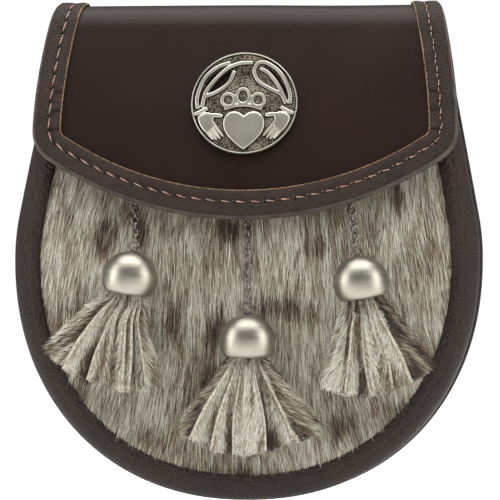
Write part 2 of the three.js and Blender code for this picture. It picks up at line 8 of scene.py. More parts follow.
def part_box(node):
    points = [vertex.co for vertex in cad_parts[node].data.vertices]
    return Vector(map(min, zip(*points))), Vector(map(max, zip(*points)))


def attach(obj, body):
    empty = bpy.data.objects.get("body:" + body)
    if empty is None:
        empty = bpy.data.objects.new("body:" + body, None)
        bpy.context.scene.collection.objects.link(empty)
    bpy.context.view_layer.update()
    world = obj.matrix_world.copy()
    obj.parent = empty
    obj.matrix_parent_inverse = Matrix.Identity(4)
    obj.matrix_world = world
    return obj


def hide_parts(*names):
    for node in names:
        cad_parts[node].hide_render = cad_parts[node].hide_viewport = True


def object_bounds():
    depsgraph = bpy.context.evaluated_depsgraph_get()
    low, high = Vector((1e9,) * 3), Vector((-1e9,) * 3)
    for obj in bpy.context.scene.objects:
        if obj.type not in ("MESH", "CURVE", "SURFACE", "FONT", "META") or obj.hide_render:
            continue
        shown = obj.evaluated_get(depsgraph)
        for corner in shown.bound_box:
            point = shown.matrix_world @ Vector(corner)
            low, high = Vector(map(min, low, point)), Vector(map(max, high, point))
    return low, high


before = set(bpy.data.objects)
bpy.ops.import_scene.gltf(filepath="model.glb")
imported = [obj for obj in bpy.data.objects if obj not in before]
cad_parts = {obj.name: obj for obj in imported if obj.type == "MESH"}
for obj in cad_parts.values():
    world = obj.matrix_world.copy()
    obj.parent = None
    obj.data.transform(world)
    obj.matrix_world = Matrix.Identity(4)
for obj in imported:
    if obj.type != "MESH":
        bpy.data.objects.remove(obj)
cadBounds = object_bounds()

# A sporran pouch: leather body, hair-on hide front, bound flap with a cast badge, and three hide tassels
# in bell caps on fine chains. Sizes in the dictionaries are millimetres and angles degrees: addMesh and
# pathPieces turn lengths to metres.
# x runs to the right, y to the back and z up. A drop is measured down from the top of the flap's bend.

mm = 0.001
rad = math.radians


def boxOf(node):  # lowest and highest corner of a CAD node, in millimetres
    low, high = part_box(node)
    return np.array(low) / mm, np.array(high) / mm


topHeight = boxOf("flap")[1][2]


def clamp(value, low=0.0, high=1.0):
    return np.minimum(np.maximum(value, low), high)


def smooth(value, low, high):
    t = clamp((value - low) / (high - low))
    return t * t * (3 - 2 * t)


def mix(a, b, t):
    return a + (b - a) * t


def unit(vectors):
    return vectors / np.maximum(np.linalg.norm(vectors, axis=-1, keepdims=True), 1e-9)


def at(x, y, drop):
    x, y, drop = np.broadcast_arrays(x, y, drop)
    return np.stack([x, y, topHeight - drop], axis=-1).astype(float)


def clouds(u, v, sizeU, sizeV, layer):  # smooth noise on a grid, slower where the sizes are larger
    values = [noise.noise((a / sizeU, b / sizeV, layer)) for a, b in zip(u.ravel(), v.ravel())]
    return np.array(values).reshape(u.shape)


# ---- meshes from points

def gridFaces(rows, columns, wrap=False, start=0):
    r, c = np.meshgrid(np.arange(rows - 1), np.arange(columns if wrap else columns - 1), indexing="ij")
    a = start + r * columns + c
    b = start + r * columns + (c + 1) % columns
    return np.stack([a, b, b + columns, a + columns], axis=-1).reshape(-1, 4)


def addMesh(name, points, quads, triangles=None, towards=None):
    points = np.asarray(points, float).reshape(-1, 3) * mm
    quads = np.asarray(quads)
    triangles = np.zeros((0, 3), int) if triangles is None else triangles
    a, b, c, d = (points[quads[:, i]] for i in range(4))
    if towards is None:  # a closed piece: its volume says which way its faces point
        sign = np.sum(np.cross(a, b) * c) + np.sum(np.cross(a, c) * d)
        e, f, g = (points[triangles[:, i]] for i in range(3))
        sign += np.sum(np.cross(e, f) * g)
    else:
        sign = np.sum(np.cross(c - a, d - b) @ np.asarray(towards, float))
    if sign < 0:
        quads, triangles = quads[:, ::-1], triangles[:, ::-1]
    mesh = bpy.data.meshes.new(name)
    mesh.from_pydata(points.tolist(), [], quads.tolist() + triangles.tolist())
    mesh.validate()
    mesh.shade_smooth()
    piece = bpy.data.objects.new(name, mesh)
    bpy.context.scene.collection.objects.link(piece)
    return piece


def thickSheet(name, outer, inner, wrap=False):  # a closed solid between two grids of points
    rows, columns = outer.shape[:2]
    under = rows * columns
    top = gridFaces(rows, columns, wrap)
    faces = [top, top[:, ::-1] + under]
    c = np.arange(columns if wrap else columns - 1)
    n = (c + 1) % columns
    last = (rows - 1) * columns
    faces.append(np.stack([c, c + under, n + under, n], axis=1))
    faces.append(np.stack([last + c, last + n, last + n + under, last + c + under], axis=1))
    if not wrap:
        a = np.arange(rows - 1) * columns
        b = a + columns - 1
        faces.append(np.stack([a, a + columns, a + columns + under, a + under], axis=1))
        faces.append(np.stack([b, b + under, b + columns + under, b + columns], axis=1))
    return addMesh(name, np.concatenate([outer.reshape(-1, 3), inner.reshape(-1, 3)]), np.concatenate(faces))


def lofted(name, sections):  # closed sections along a path, shape (stations, section points, 3)
    stations, count = sections.shape[:2]
    points = sections.reshape(-1, 3)
    middles = sections[[0, -1]].mean(axis=1)  # each end is closed by a fan about its middle
    faces = gridFaces(stations, count, wrap=True)
    i = np.arange(count)
    j = (i + 1) % count
    first, last = len(points), len(points) + 1
    end = (stations - 1) * count
    ends = np.concatenate([np.stack([j, i, 0 * i + first], axis=1),
                           np.stack([end + i, end + j, 0 * i + last], axis=1)])
    return addMesh(name, np.concatenate([points, middles]), faces, ends)


def lathed(name, profile, sides, place=None):  # profile of (radius, height) about z
    turn = 2 * np.pi * np.arange(sides) / sides
    profile = np.asarray(profile, float)
    rings = np.stack([np.outer(profile[:, 0], np.cos(turn)), np.outer(profile[:, 0], np.sin(turn)),
                      np.repeat(profile[:, 1:], sides, axis=1)], axis=-1)
    if place is not None:
        rings = place(rings)
    return addMesh(name, rings, gridFaces(len(profile), sides, wrap=True))


def addUv(piece, name, u, v):  # one pair for each vertex
    layer = piece.data.uv_layers.new(name=name)
    index = np.zeros(len(piece.data.loops), int)
    piece.data.loops.foreach_get("vertex_index", index)
    layer.data.foreach_set("uv", np.stack([u[index], v[index]], axis=1).astype(np.float32).ravel())


def finishPiece(piece, material, slot, *nodes):
    if material is not None:
        piece.data.materials.clear()
        piece.data.materials.append(material)
    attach(piece, "root")
    if nodes:
        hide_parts(*nodes)
    return piece


# ---- node trees

def linear(code):  # sRGB hex to linear colour
    parts = [int(code[i:i + 2], 16) / 255 for i in (1, 3, 5)]
    return [p / 12.92 if p <= 0.04045 else ((p + 0.055) / 1.055) ** 2.4 for p in parts] + [1.0]


def connect(tree, node, links):  # a node given as a value stands for its first output
    for key, value in links.items():
        if isinstance(value, bpy.types.Node):
            value = value.outputs[0]
        if isinstance(value, bpy.types.NodeSocket):
            tree.links.new(value, node.inputs[key])
        else:
            node.inputs[key].default_value = value


def addNode(tree, kind, links=None, stops=(), **settings):  # stops are the places and colours of a ramp
    node = tree.nodes.new(kind)
    for key, value in settings.items():
        setattr(node, key, value)
    if stops:
        elements = node.color_ramp.elements
        while len(elements) < len(stops):
            elements.new(0.5)
        for element, (place, code) in zip(elements, stops):
            element.position = place
            element.color = linear(code)
    connect(tree, node, links or {})
    return node


def newMaterial(name, values):
    material = bpy.data.materials.new(name)
    material.use_nodes = True
    tree = material.node_tree
    shader = tree.nodes["Principled BSDF"]
    connect(tree, shader, values)
    return material, tree, shader


def leather(name, look):
    # Chrome-tanned and top-finished cowhide: rounded pebbles with creases between them, darkened towards near
    # black partly by the finish's own colour and partly as painted shade, a satin film on their tops, and
    # slow changes of tone.
    material, tree, shader = newMaterial(name, {"IOR": 1.5, "Specular IOR Level": look["specular"]})
    grain = look["grain"] * mm
    place = addNode(tree, "ShaderNodeTexCoord").outputs["Object"]
    warp = addNode(tree, "ShaderNodeTexNoise", {"Vector": place, "Scale": 0.4 / grain}).outputs["Color"]
    pushed = addNode(tree, "ShaderNodeVectorMath", {0: warp, 1: [grain * 0.8] * 3}, operation="MULTIPLY")
    bent = addNode(tree, "ShaderNodeVectorMath", {0: place, 1: pushed})
    pebble = addNode(tree, "ShaderNodeTexVoronoi", {"Vector": bent, "Scale": 1 / grain, "Smoothness": 0.4},
                     feature="SMOOTH_F1")
    fine = addNode(tree, "ShaderNodeTexNoise",
                   {"Vector": place, "Scale": 1 / (look["fine"] * mm), "Detail": 3.0})
    cloud = addNode(tree, "ShaderNodeTexNoise",
                    {"Vector": place, "Scale": 1 / (look["cloud"] * mm), "Detail": 4.0})
    tone = addNode(tree, "ShaderNodeValToRGB", {"Fac": cloud}, [(0.3, look["dark"]), (0.7, look["light"])])
    # painted shade, with some of the finish's own colour: the creases between the pebbles are mixed towards
    # near black
    creaseShade = addNode(tree, "ShaderNodeMapRange", {"Value": pebble, "From Min": 0.25, "From Max": 0.75,
                                                  "To Min": 0.0, "To Max": look["creaseShadeTone"]})
    colour = addNode(tree, "ShaderNodeMix", {0: creaseShade, 6: tone, 7: linear("#0E0A09")}, data_type="RGBA")
    grainHeight = addNode(tree, "ShaderNodeMath", {0: pebble, 1: -look["pebbleDepth"]}, operation="MULTIPLY")
    fineHeight = addNode(tree, "ShaderNodeMath", {0: fine, 1: look["fineDepth"]}, operation="MULTIPLY")
    height = addNode(tree, "ShaderNodeMath", {0: grainHeight, 1: fineHeight}, operation="ADD")
    bump = addNode(tree, "ShaderNodeBump", {"Height": height, "Distance": mm, "Strength": 1.0})
    gloss = addNode(tree, "ShaderNodeMapRange", {"Value": fine, "To Min": look["roughness"] - 0.08,
                                                 "To Max": look["roughness"] + 0.1})
    connect(tree, shader, {"Base Color": colour.outputs[2], "Normal": bump, "Roughness": gloss})
    return material, tree, shader


bodyLook = {"grain": 1.25, "fine": 0.5, "cloud": 22, "dark": "#1E110B", "light": "#2A1A12", "creaseShadeTone": 0.4,
            "pebbleDepth": 0.6, "fineDepth": 0.4, "roughness": 0.42, "specular": 0.34}
flapLook = {"grain": 1.6, "fine": 0.6, "cloud": 30, "dark": "#190D08", "light": "#21120C", "creaseShadeTone": 0.15,
            "pebbleDepth": 0.03, "fineDepth": 0.04, "roughness": 0.42, "specular": 0.2}
bindingLook = {"grain": 0.85, "fine": 0.4, "cloud": 7, "dark": "#22140C", "light": "#332116",
               "creaseShadeTone": 0.65, "pebbleDepth": 0.5, "fineDepth": 0.35, "roughness": 0.55, "specular": 0.3}

pebbledLeather = leather("pebbled body leather", bodyLook)[0]
smoothLeather = leather("smooth flap leather", flapLook)[0]


def boundLeather():
    # Thin split leather turned over the edge: a matt, finely broken grain, paler in patches along the fold,
    # partly rubbed wear and partly a painted highlight where the fold turns to the light.
    material, tree, shader = leather("binding leather", bindingLook)
    base = shader.inputs["Base Color"].links[0].from_socket
    uv = addNode(tree, "ShaderNodeUVMap", uv_map="bindingUv")
    across = addNode(tree, "ShaderNodeSeparateXYZ", {0: uv}).outputs["Y"]
    # paler along the fold: partly rubbed wear, partly a painted highlight
    fold = addNode(tree, "ShaderNodeMapRange", {"Value": across, "From Min": 0.0, "From Max": 0.05,
                                                "To Min": 0.3, "To Max": 0.0})
    place = addNode(tree, "ShaderNodeTexCoord").outputs["Object"]
    patchy = addNode(tree, "ShaderNodeTexNoise", {"Vector": place, "Scale": 1 / (6 * mm)})
    wearAndHighlight = addNode(tree, "ShaderNodeMath", {0: fold, 1: patchy}, operation="MULTIPLY")
    colour = addNode(tree, "ShaderNodeMix", {0: wearAndHighlight, 6: base, 7: linear("#A79B94")}, data_type="RGBA")
    connect(tree, shader, {"Base Color": colour.outputs[2]})
    return material


def cutLeather():
    # The cut edge of vegetable-retanned leather: fibrous, dry and tan.
    material, tree, shader = newMaterial("cut leather edge", {"Roughness": 0.75, "IOR": 1.5})
    place = addNode(tree, "ShaderNodeTexCoord").outputs["Object"]
    fibre = addNode(tree, "ShaderNodeTexNoise", {"Vector": place, "Scale": 1 / (0.8 * mm), "Detail": 4.0})
    tone = addNode(tree, "ShaderNodeValToRGB", {"Fac": fibre},
                   [(0.35, "#3B2A1C"), (0.5, "#745A3C"), (0.72, "#A08460")])
    bump = addNode(tree, "ShaderNodeBump", {"Height": fibre, "Distance": 0.1 * mm})
    connect(tree, shader, {"Base Color": tone, "Normal": bump})
    return material


def waxedThread():
    # Waxed linen thread, two plies twisted together: pinkish tan, with a low shine on each turn.
    material, tree, shader = newMaterial("waxed linen thread",
                                         {"Roughness": 0.5, "IOR": 1.5, "Sheen Weight": 0.2})
    place = addNode(tree, "ShaderNodeTexCoord").outputs["Object"]
    strand = addNode(tree, "ShaderNodeTexNoise", {"Vector": place, "Scale": 1 / (1.5 * mm), "Detail": 3.0})
    tone = addNode(tree, "ShaderNodeValToRGB", {"Fac": strand},
                   [(0.3, "#7C5E50"), (0.6, "#AC8878"), (0.8, "#C4A293")])
    connect(tree, shader, {"Base Color": tone})
    return material


def needleHole():
    # The shadowed hole a needle leaves, painted as shade: near black, and matt.
    material, tree, shader = newMaterial("needle hole", {"Roughness": 0.9, "IOR": 1.4})
    place = addNode(tree, "ShaderNodeTexCoord").outputs["Object"]
    holeShadeNoise = addNode(tree, "ShaderNodeTexNoise", {"Vector": place, "Scale": 1 / (0.5 * mm)})
    tone = addNode(tree, "ShaderNodeValToRGB", {"Fac": holeShadeNoise}, [(0.3, "#080605"), (0.8, "#17100D")])
    connect(tree, shader, {"Base Color": tone})
    return material


def hairOnHide():
    # Goat hair: pigmented fibres with a soft shine, each blade darkened at the root as painted shade under
    # the hairs above it, and paler at the tip. The first coordinate of hairUv is a blade's tone, and the
    # second runs along it.
    material, tree, shader = newMaterial("goat hair", {"Roughness": 0.55, "IOR": 1.55})
    uv = addNode(tree, "ShaderNodeUVMap", uv_map="hairUv")
    parts = addNode(tree, "ShaderNodeSeparateXYZ", {0: uv}).outputs
    tone = addNode(tree, "ShaderNodeValToRGB", {"Fac": parts["X"]},
                   [(0.0, "#1E140E"), (0.2, "#463222"), (0.38, "#7F6A54"), (0.56, "#A49C87"),
                    (0.76, "#CDCBBA"), (1.0, "#F2F1E8")])
    # painted shade: each blade darkens towards its root
    rootShade = addNode(tree, "ShaderNodeValToRGB", {"Fac": parts["Y"]},
                    [(0.0, "#5E5248"), (0.4, "#CFC8BF"), (1.0, "#FFFFFF")])
    colour = addNode(tree, "ShaderNodeMix", {0: 1.0, 6: tone, 7: rootShade}, data_type="RGBA",
                     blend_type="MULTIPLY")
    connect(tree, shader, {"Base Color": colour.outputs[2]})
    return material


def hideSkin():
    # The skin under the hair and its cut edges: dressed goatskin, dry and cream.
    material, tree, shader = newMaterial("dressed goatskin", {"Roughness": 0.8, "IOR": 1.45})
    place = addNode(tree, "ShaderNodeTexCoord").outputs["Object"]
    nap = addNode(tree, "ShaderNodeTexNoise", {"Vector": place, "Scale": 1 / (1.2 * mm), "Detail": 4.0})
    tone = addNode(tree, "ShaderNodeValToRGB", {"Fac": nap},
                   [(0.3, "#857C6C"), (0.55, "#B3AB9B"), (0.8, "#D6D1C4")])
    bump = addNode(tree, "ShaderNodeBump", {"Height": nap, "Distance": 0.15 * mm})
    connect(tree, shader, {"Base Color": tone, "Normal": bump})
    return material


def panelSkin():
    # The skin of the front between the hairs, mostly in their shade.
    material, tree, shader = newMaterial("shaded hide", {"Roughness": 0.85, "IOR": 1.45})
    place = addNode(tree, "ShaderNodeTexCoord").outputs["Object"]
    nap = addNode(tree, "ShaderNodeTexNoise", {"Vector": place, "Scale": 1 / (3 * mm), "Detail": 4.0})
    tone = addNode(tree, "ShaderNodeValToRGB", {"Fac": nap}, [(0.3, "#4A3C30"), (0.7, "#8A7B68")])
    connect(tree, shader, {"Base Color": tone})
    return material


def antiquePewter():
    # Cast pewter, blackened and rubbed back: the raised work is grey and satin, the punched ground keeps
    # the black. The attribute relief says how far each place stands above the ground.
    material, tree, shader = newMaterial("antique pewter", {"Roughness": 0.36, "Metallic": 1.0})
    place = addNode(tree, "ShaderNodeTexCoord").outputs["Object"]
    relief = addNode(tree, "ShaderNodeAttribute", attribute_name="relief").outputs["Fac"]
    punch = addNode(tree, "ShaderNodeTexVoronoi", {"Vector": place, "Scale": 1 / (0.6 * mm)})
    cloud = addNode(tree, "ShaderNodeTexNoise", {"Vector": place, "Scale": 1 / (9 * mm)})
    shift = addNode(tree, "ShaderNodeMath", {0: cloud, 1: 0.5}, operation="SUBTRACT")
    uneven = addNode(tree, "ShaderNodeMath", {0: punch, 1: shift}, operation="ADD")
    ground = addNode(tree, "ShaderNodeValToRGB", {"Fac": uneven},
                     [(0.2, "#A39C8C"), (0.45, "#6B6558"), (0.8, "#26221D")])
    bright = addNode(tree, "ShaderNodeValToRGB", {"Fac": cloud}, [(0.3, "#CBC6B9"), (0.7, "#E4DFD2")])
    foot = addNode(tree, "ShaderNodeMapRange", {"Value": relief, "From Min": 0.02, "From Max": 0.14})
    blackened = addNode(tree, "ShaderNodeMix", {0: foot, 6: ground, 7: linear("#12100E")}, data_type="RGBA")
    raised = addNode(tree, "ShaderNodeMapRange", {"Value": relief, "From Min": 0.4, "From Max": 0.75})
    colour = addNode(tree, "ShaderNodeMix", {0: raised, 6: blackened.outputs[2], 7: bright}, data_type="RGBA")
    rough = addNode(tree, "ShaderNodeMapRange", {"Value": raised, "To Min": 0.6, "To Max": 0.33})
    brush = addNode(tree, "ShaderNodeMapping", {"Vector": place, "Scale": [1 / (0.35 * mm), 1, 1 / (6 * mm)]})
    lines = addNode(tree, "ShaderNodeTexNoise", {"Vector": brush, "Scale": 1.0})
    sunk = addNode(tree, "ShaderNodeMath", {0: 1.0, 1: raised}, operation="SUBTRACT")
    punched = addNode(tree, "ShaderNodeMath", {0: sunk, 1: punch}, operation="MULTIPLY")
    punchHeight = addNode(tree, "ShaderNodeMath", {0: punched, 1: -0.35}, operation="MULTIPLY")
    lineHeight = addNode(tree, "ShaderNodeMath", {0: lines, 1: 0.03}, operation="MULTIPLY")
    height = addNode(tree, "ShaderNodeMath", {0: punchHeight, 1: lineHeight}, operation="ADD")
    bump = addNode(tree, "ShaderNodeBump", {"Height": height, "Distance": mm})
    connect(tree, shader, {"Base Color": colour.outputs[2], "Roughness": rough, "Normal": bump})
    return material


def satinNickel():
    # Nickel plate, brushed round the bell while it turned: satin, with fine rings and soft broad lights.
    material, tree, shader = newMaterial("satin nickel plate", {"Metallic": 1.0})
    uv = addNode(tree, "ShaderNodeUVMap", uv_map="turnUv")
    stretched = addNode(tree, "ShaderNodeMapping", {"Vector": uv, "Scale": [2.0, 1 / 0.16, 1.0]})
    lines = addNode(tree, "ShaderNodeTexNoise", {"Vector": stretched, "Scale": 1.0, "Detail": 3.0})
    tone = addNode(tree, "ShaderNodeValToRGB", {"Fac": lines}, [(0.3, "#9A9689"), (0.7, "#BCB8AA")])
    rough = addNode(tree, "ShaderNodeMapRange", {"Value": lines, "To Min": 0.26, "To Max": 0.42})
    bump = addNode(tree, "ShaderNodeBump", {"Height": lines, "Distance": 0.06 * mm})
    connect(tree, shader, {"Base Color": tone, "Roughness": rough, "Normal": bump})
    return material


def nickelHardware():
    # Nickel-plated steel, straight from the stamping press: a little duller, with faint scuffs.
    material, tree, shader = newMaterial("nickel plated steel", {"Roughness": 0.35, "Metallic": 1.0})
    place = addNode(tree, "ShaderNodeTexCoord").outputs["Object"]
    scuff = addNode(tree, "ShaderNodeTexNoise", {"Vector": place, "Scale": 1 / (1.5 * mm), "Detail": 5.0})
    tone = addNode(tree, "ShaderNodeValToRGB", {"Fac": scuff}, [(0.35, "#98938A"), (0.7, "#BDB8AD")])
    connect(tree, shader, {"Base Color": tone})
    return material


def gunmetal():
    # Black-nickel plated wire: dark, with small bright lights on each link.
    material, tree, shader = newMaterial("black nickel wire", {"Roughness": 0.26, "Metallic": 1.0})
    place = addNode(tree, "ShaderNodeTexCoord").outputs["Object"]
    worn = addNode(tree, "ShaderNodeTexNoise", {"Vector": place, "Scale": 1 / (1.2 * mm), "Detail": 3.0})
    tone = addNode(tree, "ShaderNodeValToRGB", {"Fac": worn}, [(0.35, "#5A5552"), (0.7, "#A9A39C")])
    connect(tree, shader, {"Base Color": tone})
    return material


bindingFinish = boundLeather()
edgeFinish = cutLeather()
threadFinish = waxedThread()
holeFinish = needleHole()
hairFinish = hairOnHide()
skinFinish = hideSkin()
panelFinish = panelSkin()
pewterFinish = antiquePewter()
nickelFinish = satinNickel()
hardwareFinish = nickelHardware()
chainFinish = gunmetal()
print("finishes ready")


# ---- geometry node trees

def newTree(name, inputs):
    tree = bpy.data.node_groups.new(name, "GeometryNodeTree")
    tree.interface.new_socket("Geometry", in_out="INPUT", socket_type="NodeSocketGeometry")
    for label, kind in inputs:
        tree.interface.new_socket(label, in_out="INPUT", socket_type="NodeSocket" + kind)
    tree.interface.new_socket("Geometry", in_out="OUTPUT", socket_type="NodeSocketGeometry")
    start = addNode(tree, "NodeGroupInput").outputs
    return tree, start


def drawn(tree, low, high, seed, offset):  # a random number for each place, from the seed and an offset
    number = addNode(tree, "ShaderNodeMath", {0: seed, 1: float(offset)}, operation="ADD")
    return addNode(tree, "FunctionNodeRandomValue", {2: low, 3: high, "Seed": number},
                   data_type="FLOAT").outputs[1]


def facing(tree, forward, up):  # a rotation with x forward and z as near to up as that allows
    first = addNode(tree, "FunctionNodeAlignRotationToVector", {"Vector": forward}, axis="X")
    return addNode(tree, "FunctionNodeAlignRotationToVector", {"Rotation": first, "Vector": up},
                   axis="Z", pivot_axis="X")


def turned(tree, rotation, x, y, z):
    angles = addNode(tree, "ShaderNodeCombineXYZ", {0: x, 1: y, 2: z})
    euler = addNode(tree, "FunctionNodeEulerToRotation", {0: angles})
    return addNode(tree, "FunctionNodeRotateRotation", {"Rotation": rotation, "Rotate By": euler},
                   rotation_space="LOCAL")


def closeTree(tree, geometry, material):
    real = addNode(tree, "GeometryNodeRealizeInstances", {"Geometry": geometry})
    made = addNode(tree, "GeometryNodeSetMaterial", {"Geometry": real, "Material": material})
    addNode(tree, "NodeGroupOutput", {0: made})


def hairTree():
    tree, start = newTree("hair on a hide", [
        ("Density", "Float"), ("Seed", "Int"), ("Blade", "Object"), ("Length", "Float"), ("Width", "Float"),
        ("Spread", "Float"), ("Tone Spread", "Float"), ("Material", "Material")])
    seed, spread = start["Seed"], start["Spread"]
    field = {}
    for name in ("thickness", "lift", "size", "tone", "along", "flow"):
        kind = "FLOAT_VECTOR" if name == "flow" else "FLOAT"
        field[name] = addNode(tree, "GeometryNodeInputNamedAttribute", {"Name": name}, data_type=kind)
    density = addNode(tree, "ShaderNodeMath", {0: start["Density"], 1: field["thickness"]},
                      operation="MULTIPLY")
    scattered = addNode(tree, "GeometryNodeDistributePointsOnFaces",
                        {"Mesh": start["Geometry"], "Density": density, "Seed": seed})
    normal = scattered.outputs["Normal"]
    less = addNode(tree, "ShaderNodeMath", {0: spread, 1: -1.0}, operation="MULTIPLY")
    jitter = addNode(tree, "ShaderNodeCombineXYZ",
                     {axis: drawn(tree, less, spread, seed, axis + 1) for axis in range(3)})
    rise = addNode(tree, "ShaderNodeVectorMath", {0: normal, "Scale": field["lift"]}, operation="SCALE")
    lean = addNode(tree, "ShaderNodeVectorMath", {0: field["flow"], 1: jitter})
    heading = addNode(tree, "ShaderNodeVectorMath", {0: lean, 1: rise})
    roll = drawn(tree, -0.9, 0.9, seed, 4)
    rotation = turned(tree, facing(tree, heading, normal), roll, 0.0, 0.0)
    full = addNode(tree, "ShaderNodeMath", {0: start["Length"], 1: field["size"]}, operation="MULTIPLY")
    length = addNode(tree, "ShaderNodeMath", {0: full, 1: drawn(tree, 0.7, 1.15, seed, 5)},
                     operation="MULTIPLY")
    width = addNode(tree, "ShaderNodeMath", {0: start["Width"], 1: drawn(tree, 0.65, 1.3, seed, 6)},
                    operation="MULTIPLY")
    change = addNode(tree, "ShaderNodeMath", {0: start["Tone Spread"], 1: drawn(tree, -1.0, 1.0, seed, 7)},
                     operation="MULTIPLY")
    tone = addNode(tree, "ShaderNodeMath", {0: field["tone"], 1: change}, operation="ADD")
    toned = addNode(tree, "GeometryNodeStoreNamedAttribute",
                    {"Geometry": scattered, "Name": "tone", "Value": tone}, data_type="FLOAT", domain="POINT")
    blade = addNode(tree, "GeometryNodeObjectInfo", {"Object": start["Blade"]}).outputs["Geometry"]
    scale = addNode(tree, "ShaderNodeCombineXYZ", {0: length, 1: width, 2: length})
    grown = addNode(tree, "GeometryNodeInstanceOnPoints",
                    {"Points": toned, "Instance": blade, "Rotation": rotation, "Scale": scale})
    real = addNode(tree, "GeometryNodeRealizeInstances", {"Geometry": grown})
    held = addNode(tree, "ShaderNodeClamp", {0: field["tone"], 1: 0.02, 2: 0.98})
    place = addNode(tree, "ShaderNodeCombineXYZ", {0: held, 1: field["along"], 2: 0.0})
    for name in ("hairUv", "OFBake"):
        real = addNode(tree, "GeometryNodeStoreNamedAttribute",
                       {"Geometry": real, "Name": name, "Value": place}, data_type="FLOAT2", domain="CORNER")
    closeTree(tree, real, start["Material"])
    return tree


def pathTree():
    tree, start = newTree("pieces along a path", [
        ("Pitch", "Float"), ("Piece", "Object"), ("Alternate Turn", "Float"), ("Slant", "Float"),
        ("Unevenness", "Float"), ("Seed", "Int"), ("Material", "Material")])
    seed, uneven = start["Seed"], start["Unevenness"]
    line = addNode(tree, "GeometryNodeMeshToCurve", {"Mesh": start["Geometry"]})
    spaced = addNode(tree, "GeometryNodeResampleCurve", {"Curve": line, "Length": start["Pitch"]},
                     mode="LENGTH")
    tangent = addNode(tree, "GeometryNodeInputTangent")
    up = addNode(tree, "GeometryNodeInputNamedAttribute", {"Name": "up"}, data_type="FLOAT_VECTOR")
    index = addNode(tree, "GeometryNodeInputIndex")
    odd = addNode(tree, "ShaderNodeMath", {0: index, 1: 2.0}, operation="MODULO")
    turn = addNode(tree, "ShaderNodeMath", {0: odd, 1: start["Alternate Turn"]}, operation="MULTIPLY")
    less = addNode(tree, "ShaderNodeMath", {0: uneven, 1: -1.0}, operation="MULTIPLY")
    yaw = addNode(tree, "ShaderNodeMath", {0: start["Slant"], 1: drawn(tree, less, uneven, seed, 1)},
                  operation="ADD")
    roll = addNode(tree, "ShaderNodeMath", {0: turn, 1: drawn(tree, less, uneven, seed, 2)}, operation="ADD")
    rotation = turned(tree, facing(tree, tangent, up), roll, 0.0, yaw)
    piece = addNode(tree, "GeometryNodeObjectInfo", {"Object": start["Piece"]}).outputs["Geometry"]
    placed = addNode(tree, "GeometryNodeInstanceOnPoints",
                     {"Points": spaced, "Instance": piece, "Rotation": rotation})
    closeTree(tree, placed, start["Material"])
    return tree


hairGrowth = hairTree()
alongPath = pathTree()


def runTree(name, base, tree, inputs):  # evaluates the tree on base and returns the result as a plain mesh
    modifier = base.modifiers.new("shape", "NODES")
    modifier.node_group = tree
    sockets = {item.name: item.identifier for item in tree.interface.items_tree if item.in_out == "INPUT"}
    for label, value in inputs.items():
        modifier[sockets[label]] = value
    bpy.context.view_layer.update()
    graph = bpy.context.evaluated_depsgraph_get()
    mesh = bpy.data.meshes.new_from_object(base.evaluated_get(graph), depsgraph=graph)
    base.modifiers.remove(modifier)
    piece = bpy.data.objects.new(name, mesh)
    mesh.name = name
    bpy.context.scene.collection.objects.link(piece)
    return piece


def setAttribute(piece, name, values):
    kind = "FLOAT_VECTOR" if np.ndim(values) == 2 else "FLOAT"
    attribute = piece.data.attributes.new(name, kind, "POINT")
    attribute.data.foreach_set("vector" if kind == "FLOAT_VECTOR" else "value",
                               np.asarray(values, np.float32).ravel())


def discard(piece):
    bpy.data.objects.remove(piece)


def pathPieces(name, points, ups, shape, settings, material, slot):  # repeats shape along a line of points
    edges = [(i, i + 1) for i in range(len(points) - 1)]
    mesh = bpy.data.meshes.new("path")
    mesh.from_pydata((np.asarray(points) * mm).tolist(), edges, [])
    base = bpy.data.objects.new("path", mesh)
    bpy.context.scene.collection.objects.link(base)
    setAttribute(base, "up", np.asarray(ups))
    piece = runTree(name, base, alongPath, {
        "Pitch": settings["pitch"] * mm, "Piece": shape, "Alternate Turn": rad(settings.get("turn", 0)),
        "Slant": rad(settings.get("slant", 0)), "Unevenness": rad(settings.get("uneven", 0)),
        "Seed": settings.get("seed", 1), "Material": material})
    discard(base)
    if "up" in piece.data.attributes:
        piece.data.attributes.remove(piece.data.attributes["up"])
    return finishPiece(piece, None, slot)


def trimmed(points, ups, start):  # the same line without its first stretch
    steps = np.linalg.norm(np.diff(points, axis=0), axis=1)
    length = np.concatenate([[0], np.cumsum(steps)])
    wanted = np.concatenate([[start], length[length > start]])
    pick = lambda values: np.stack([np.interp(wanted, length, values[:, k]) for k in range(3)], axis=1)
    return pick(points), pick(ups)


# ---- body

bodyShape = {"widestDrop": 104, "lowerHeight": 99.2, "fullness": 2.17, "sideSlope": 0.185, "mouthDrop": 16,
             "mouthDepth": 21, "fullDepth": 37, "deepeningLength": 101, "deepeningPower": 1.85,
             "halfWidth": 95}
backShape = {"thickness": 2.5, "flange": 1.2, "edgeRound": 0.9, "seamInset": 5}
gussetShape = {"wall": 2, "rimWidth": 11, "rimRound": 6, "lipTurn": 1.2, "crown": 0.45, "pucker": 0.22,
               "puckerPitch": 6.5}
panelShape = {"thickness": 2, "edgeSetBack": 2.6, "bulge": 7.5, "bulgePower": 0.8}
gap = 0.3


def bodyDepth(drop):
    down = clamp((drop - bodyShape["mouthDrop"]) / bodyShape["deepeningLength"])
    grown = (1 - down) ** bodyShape["deepeningPower"]
    return bodyShape["fullDepth"] - (bodyShape["fullDepth"] - bodyShape["mouthDepth"]) * grown


def evenly(values, count):  # resamples rows of values to equal steps along their first two columns
    steps = np.linalg.norm(np.diff(values[:, :2], axis=0), axis=1)
    length = np.concatenate([[0], np.cumsum(steps)])
    wanted = np.linspace(0, length[-1], count)
    return np.stack([np.interp(wanted, length, values[:, k]) for k in range(values.shape[1])], axis=1)


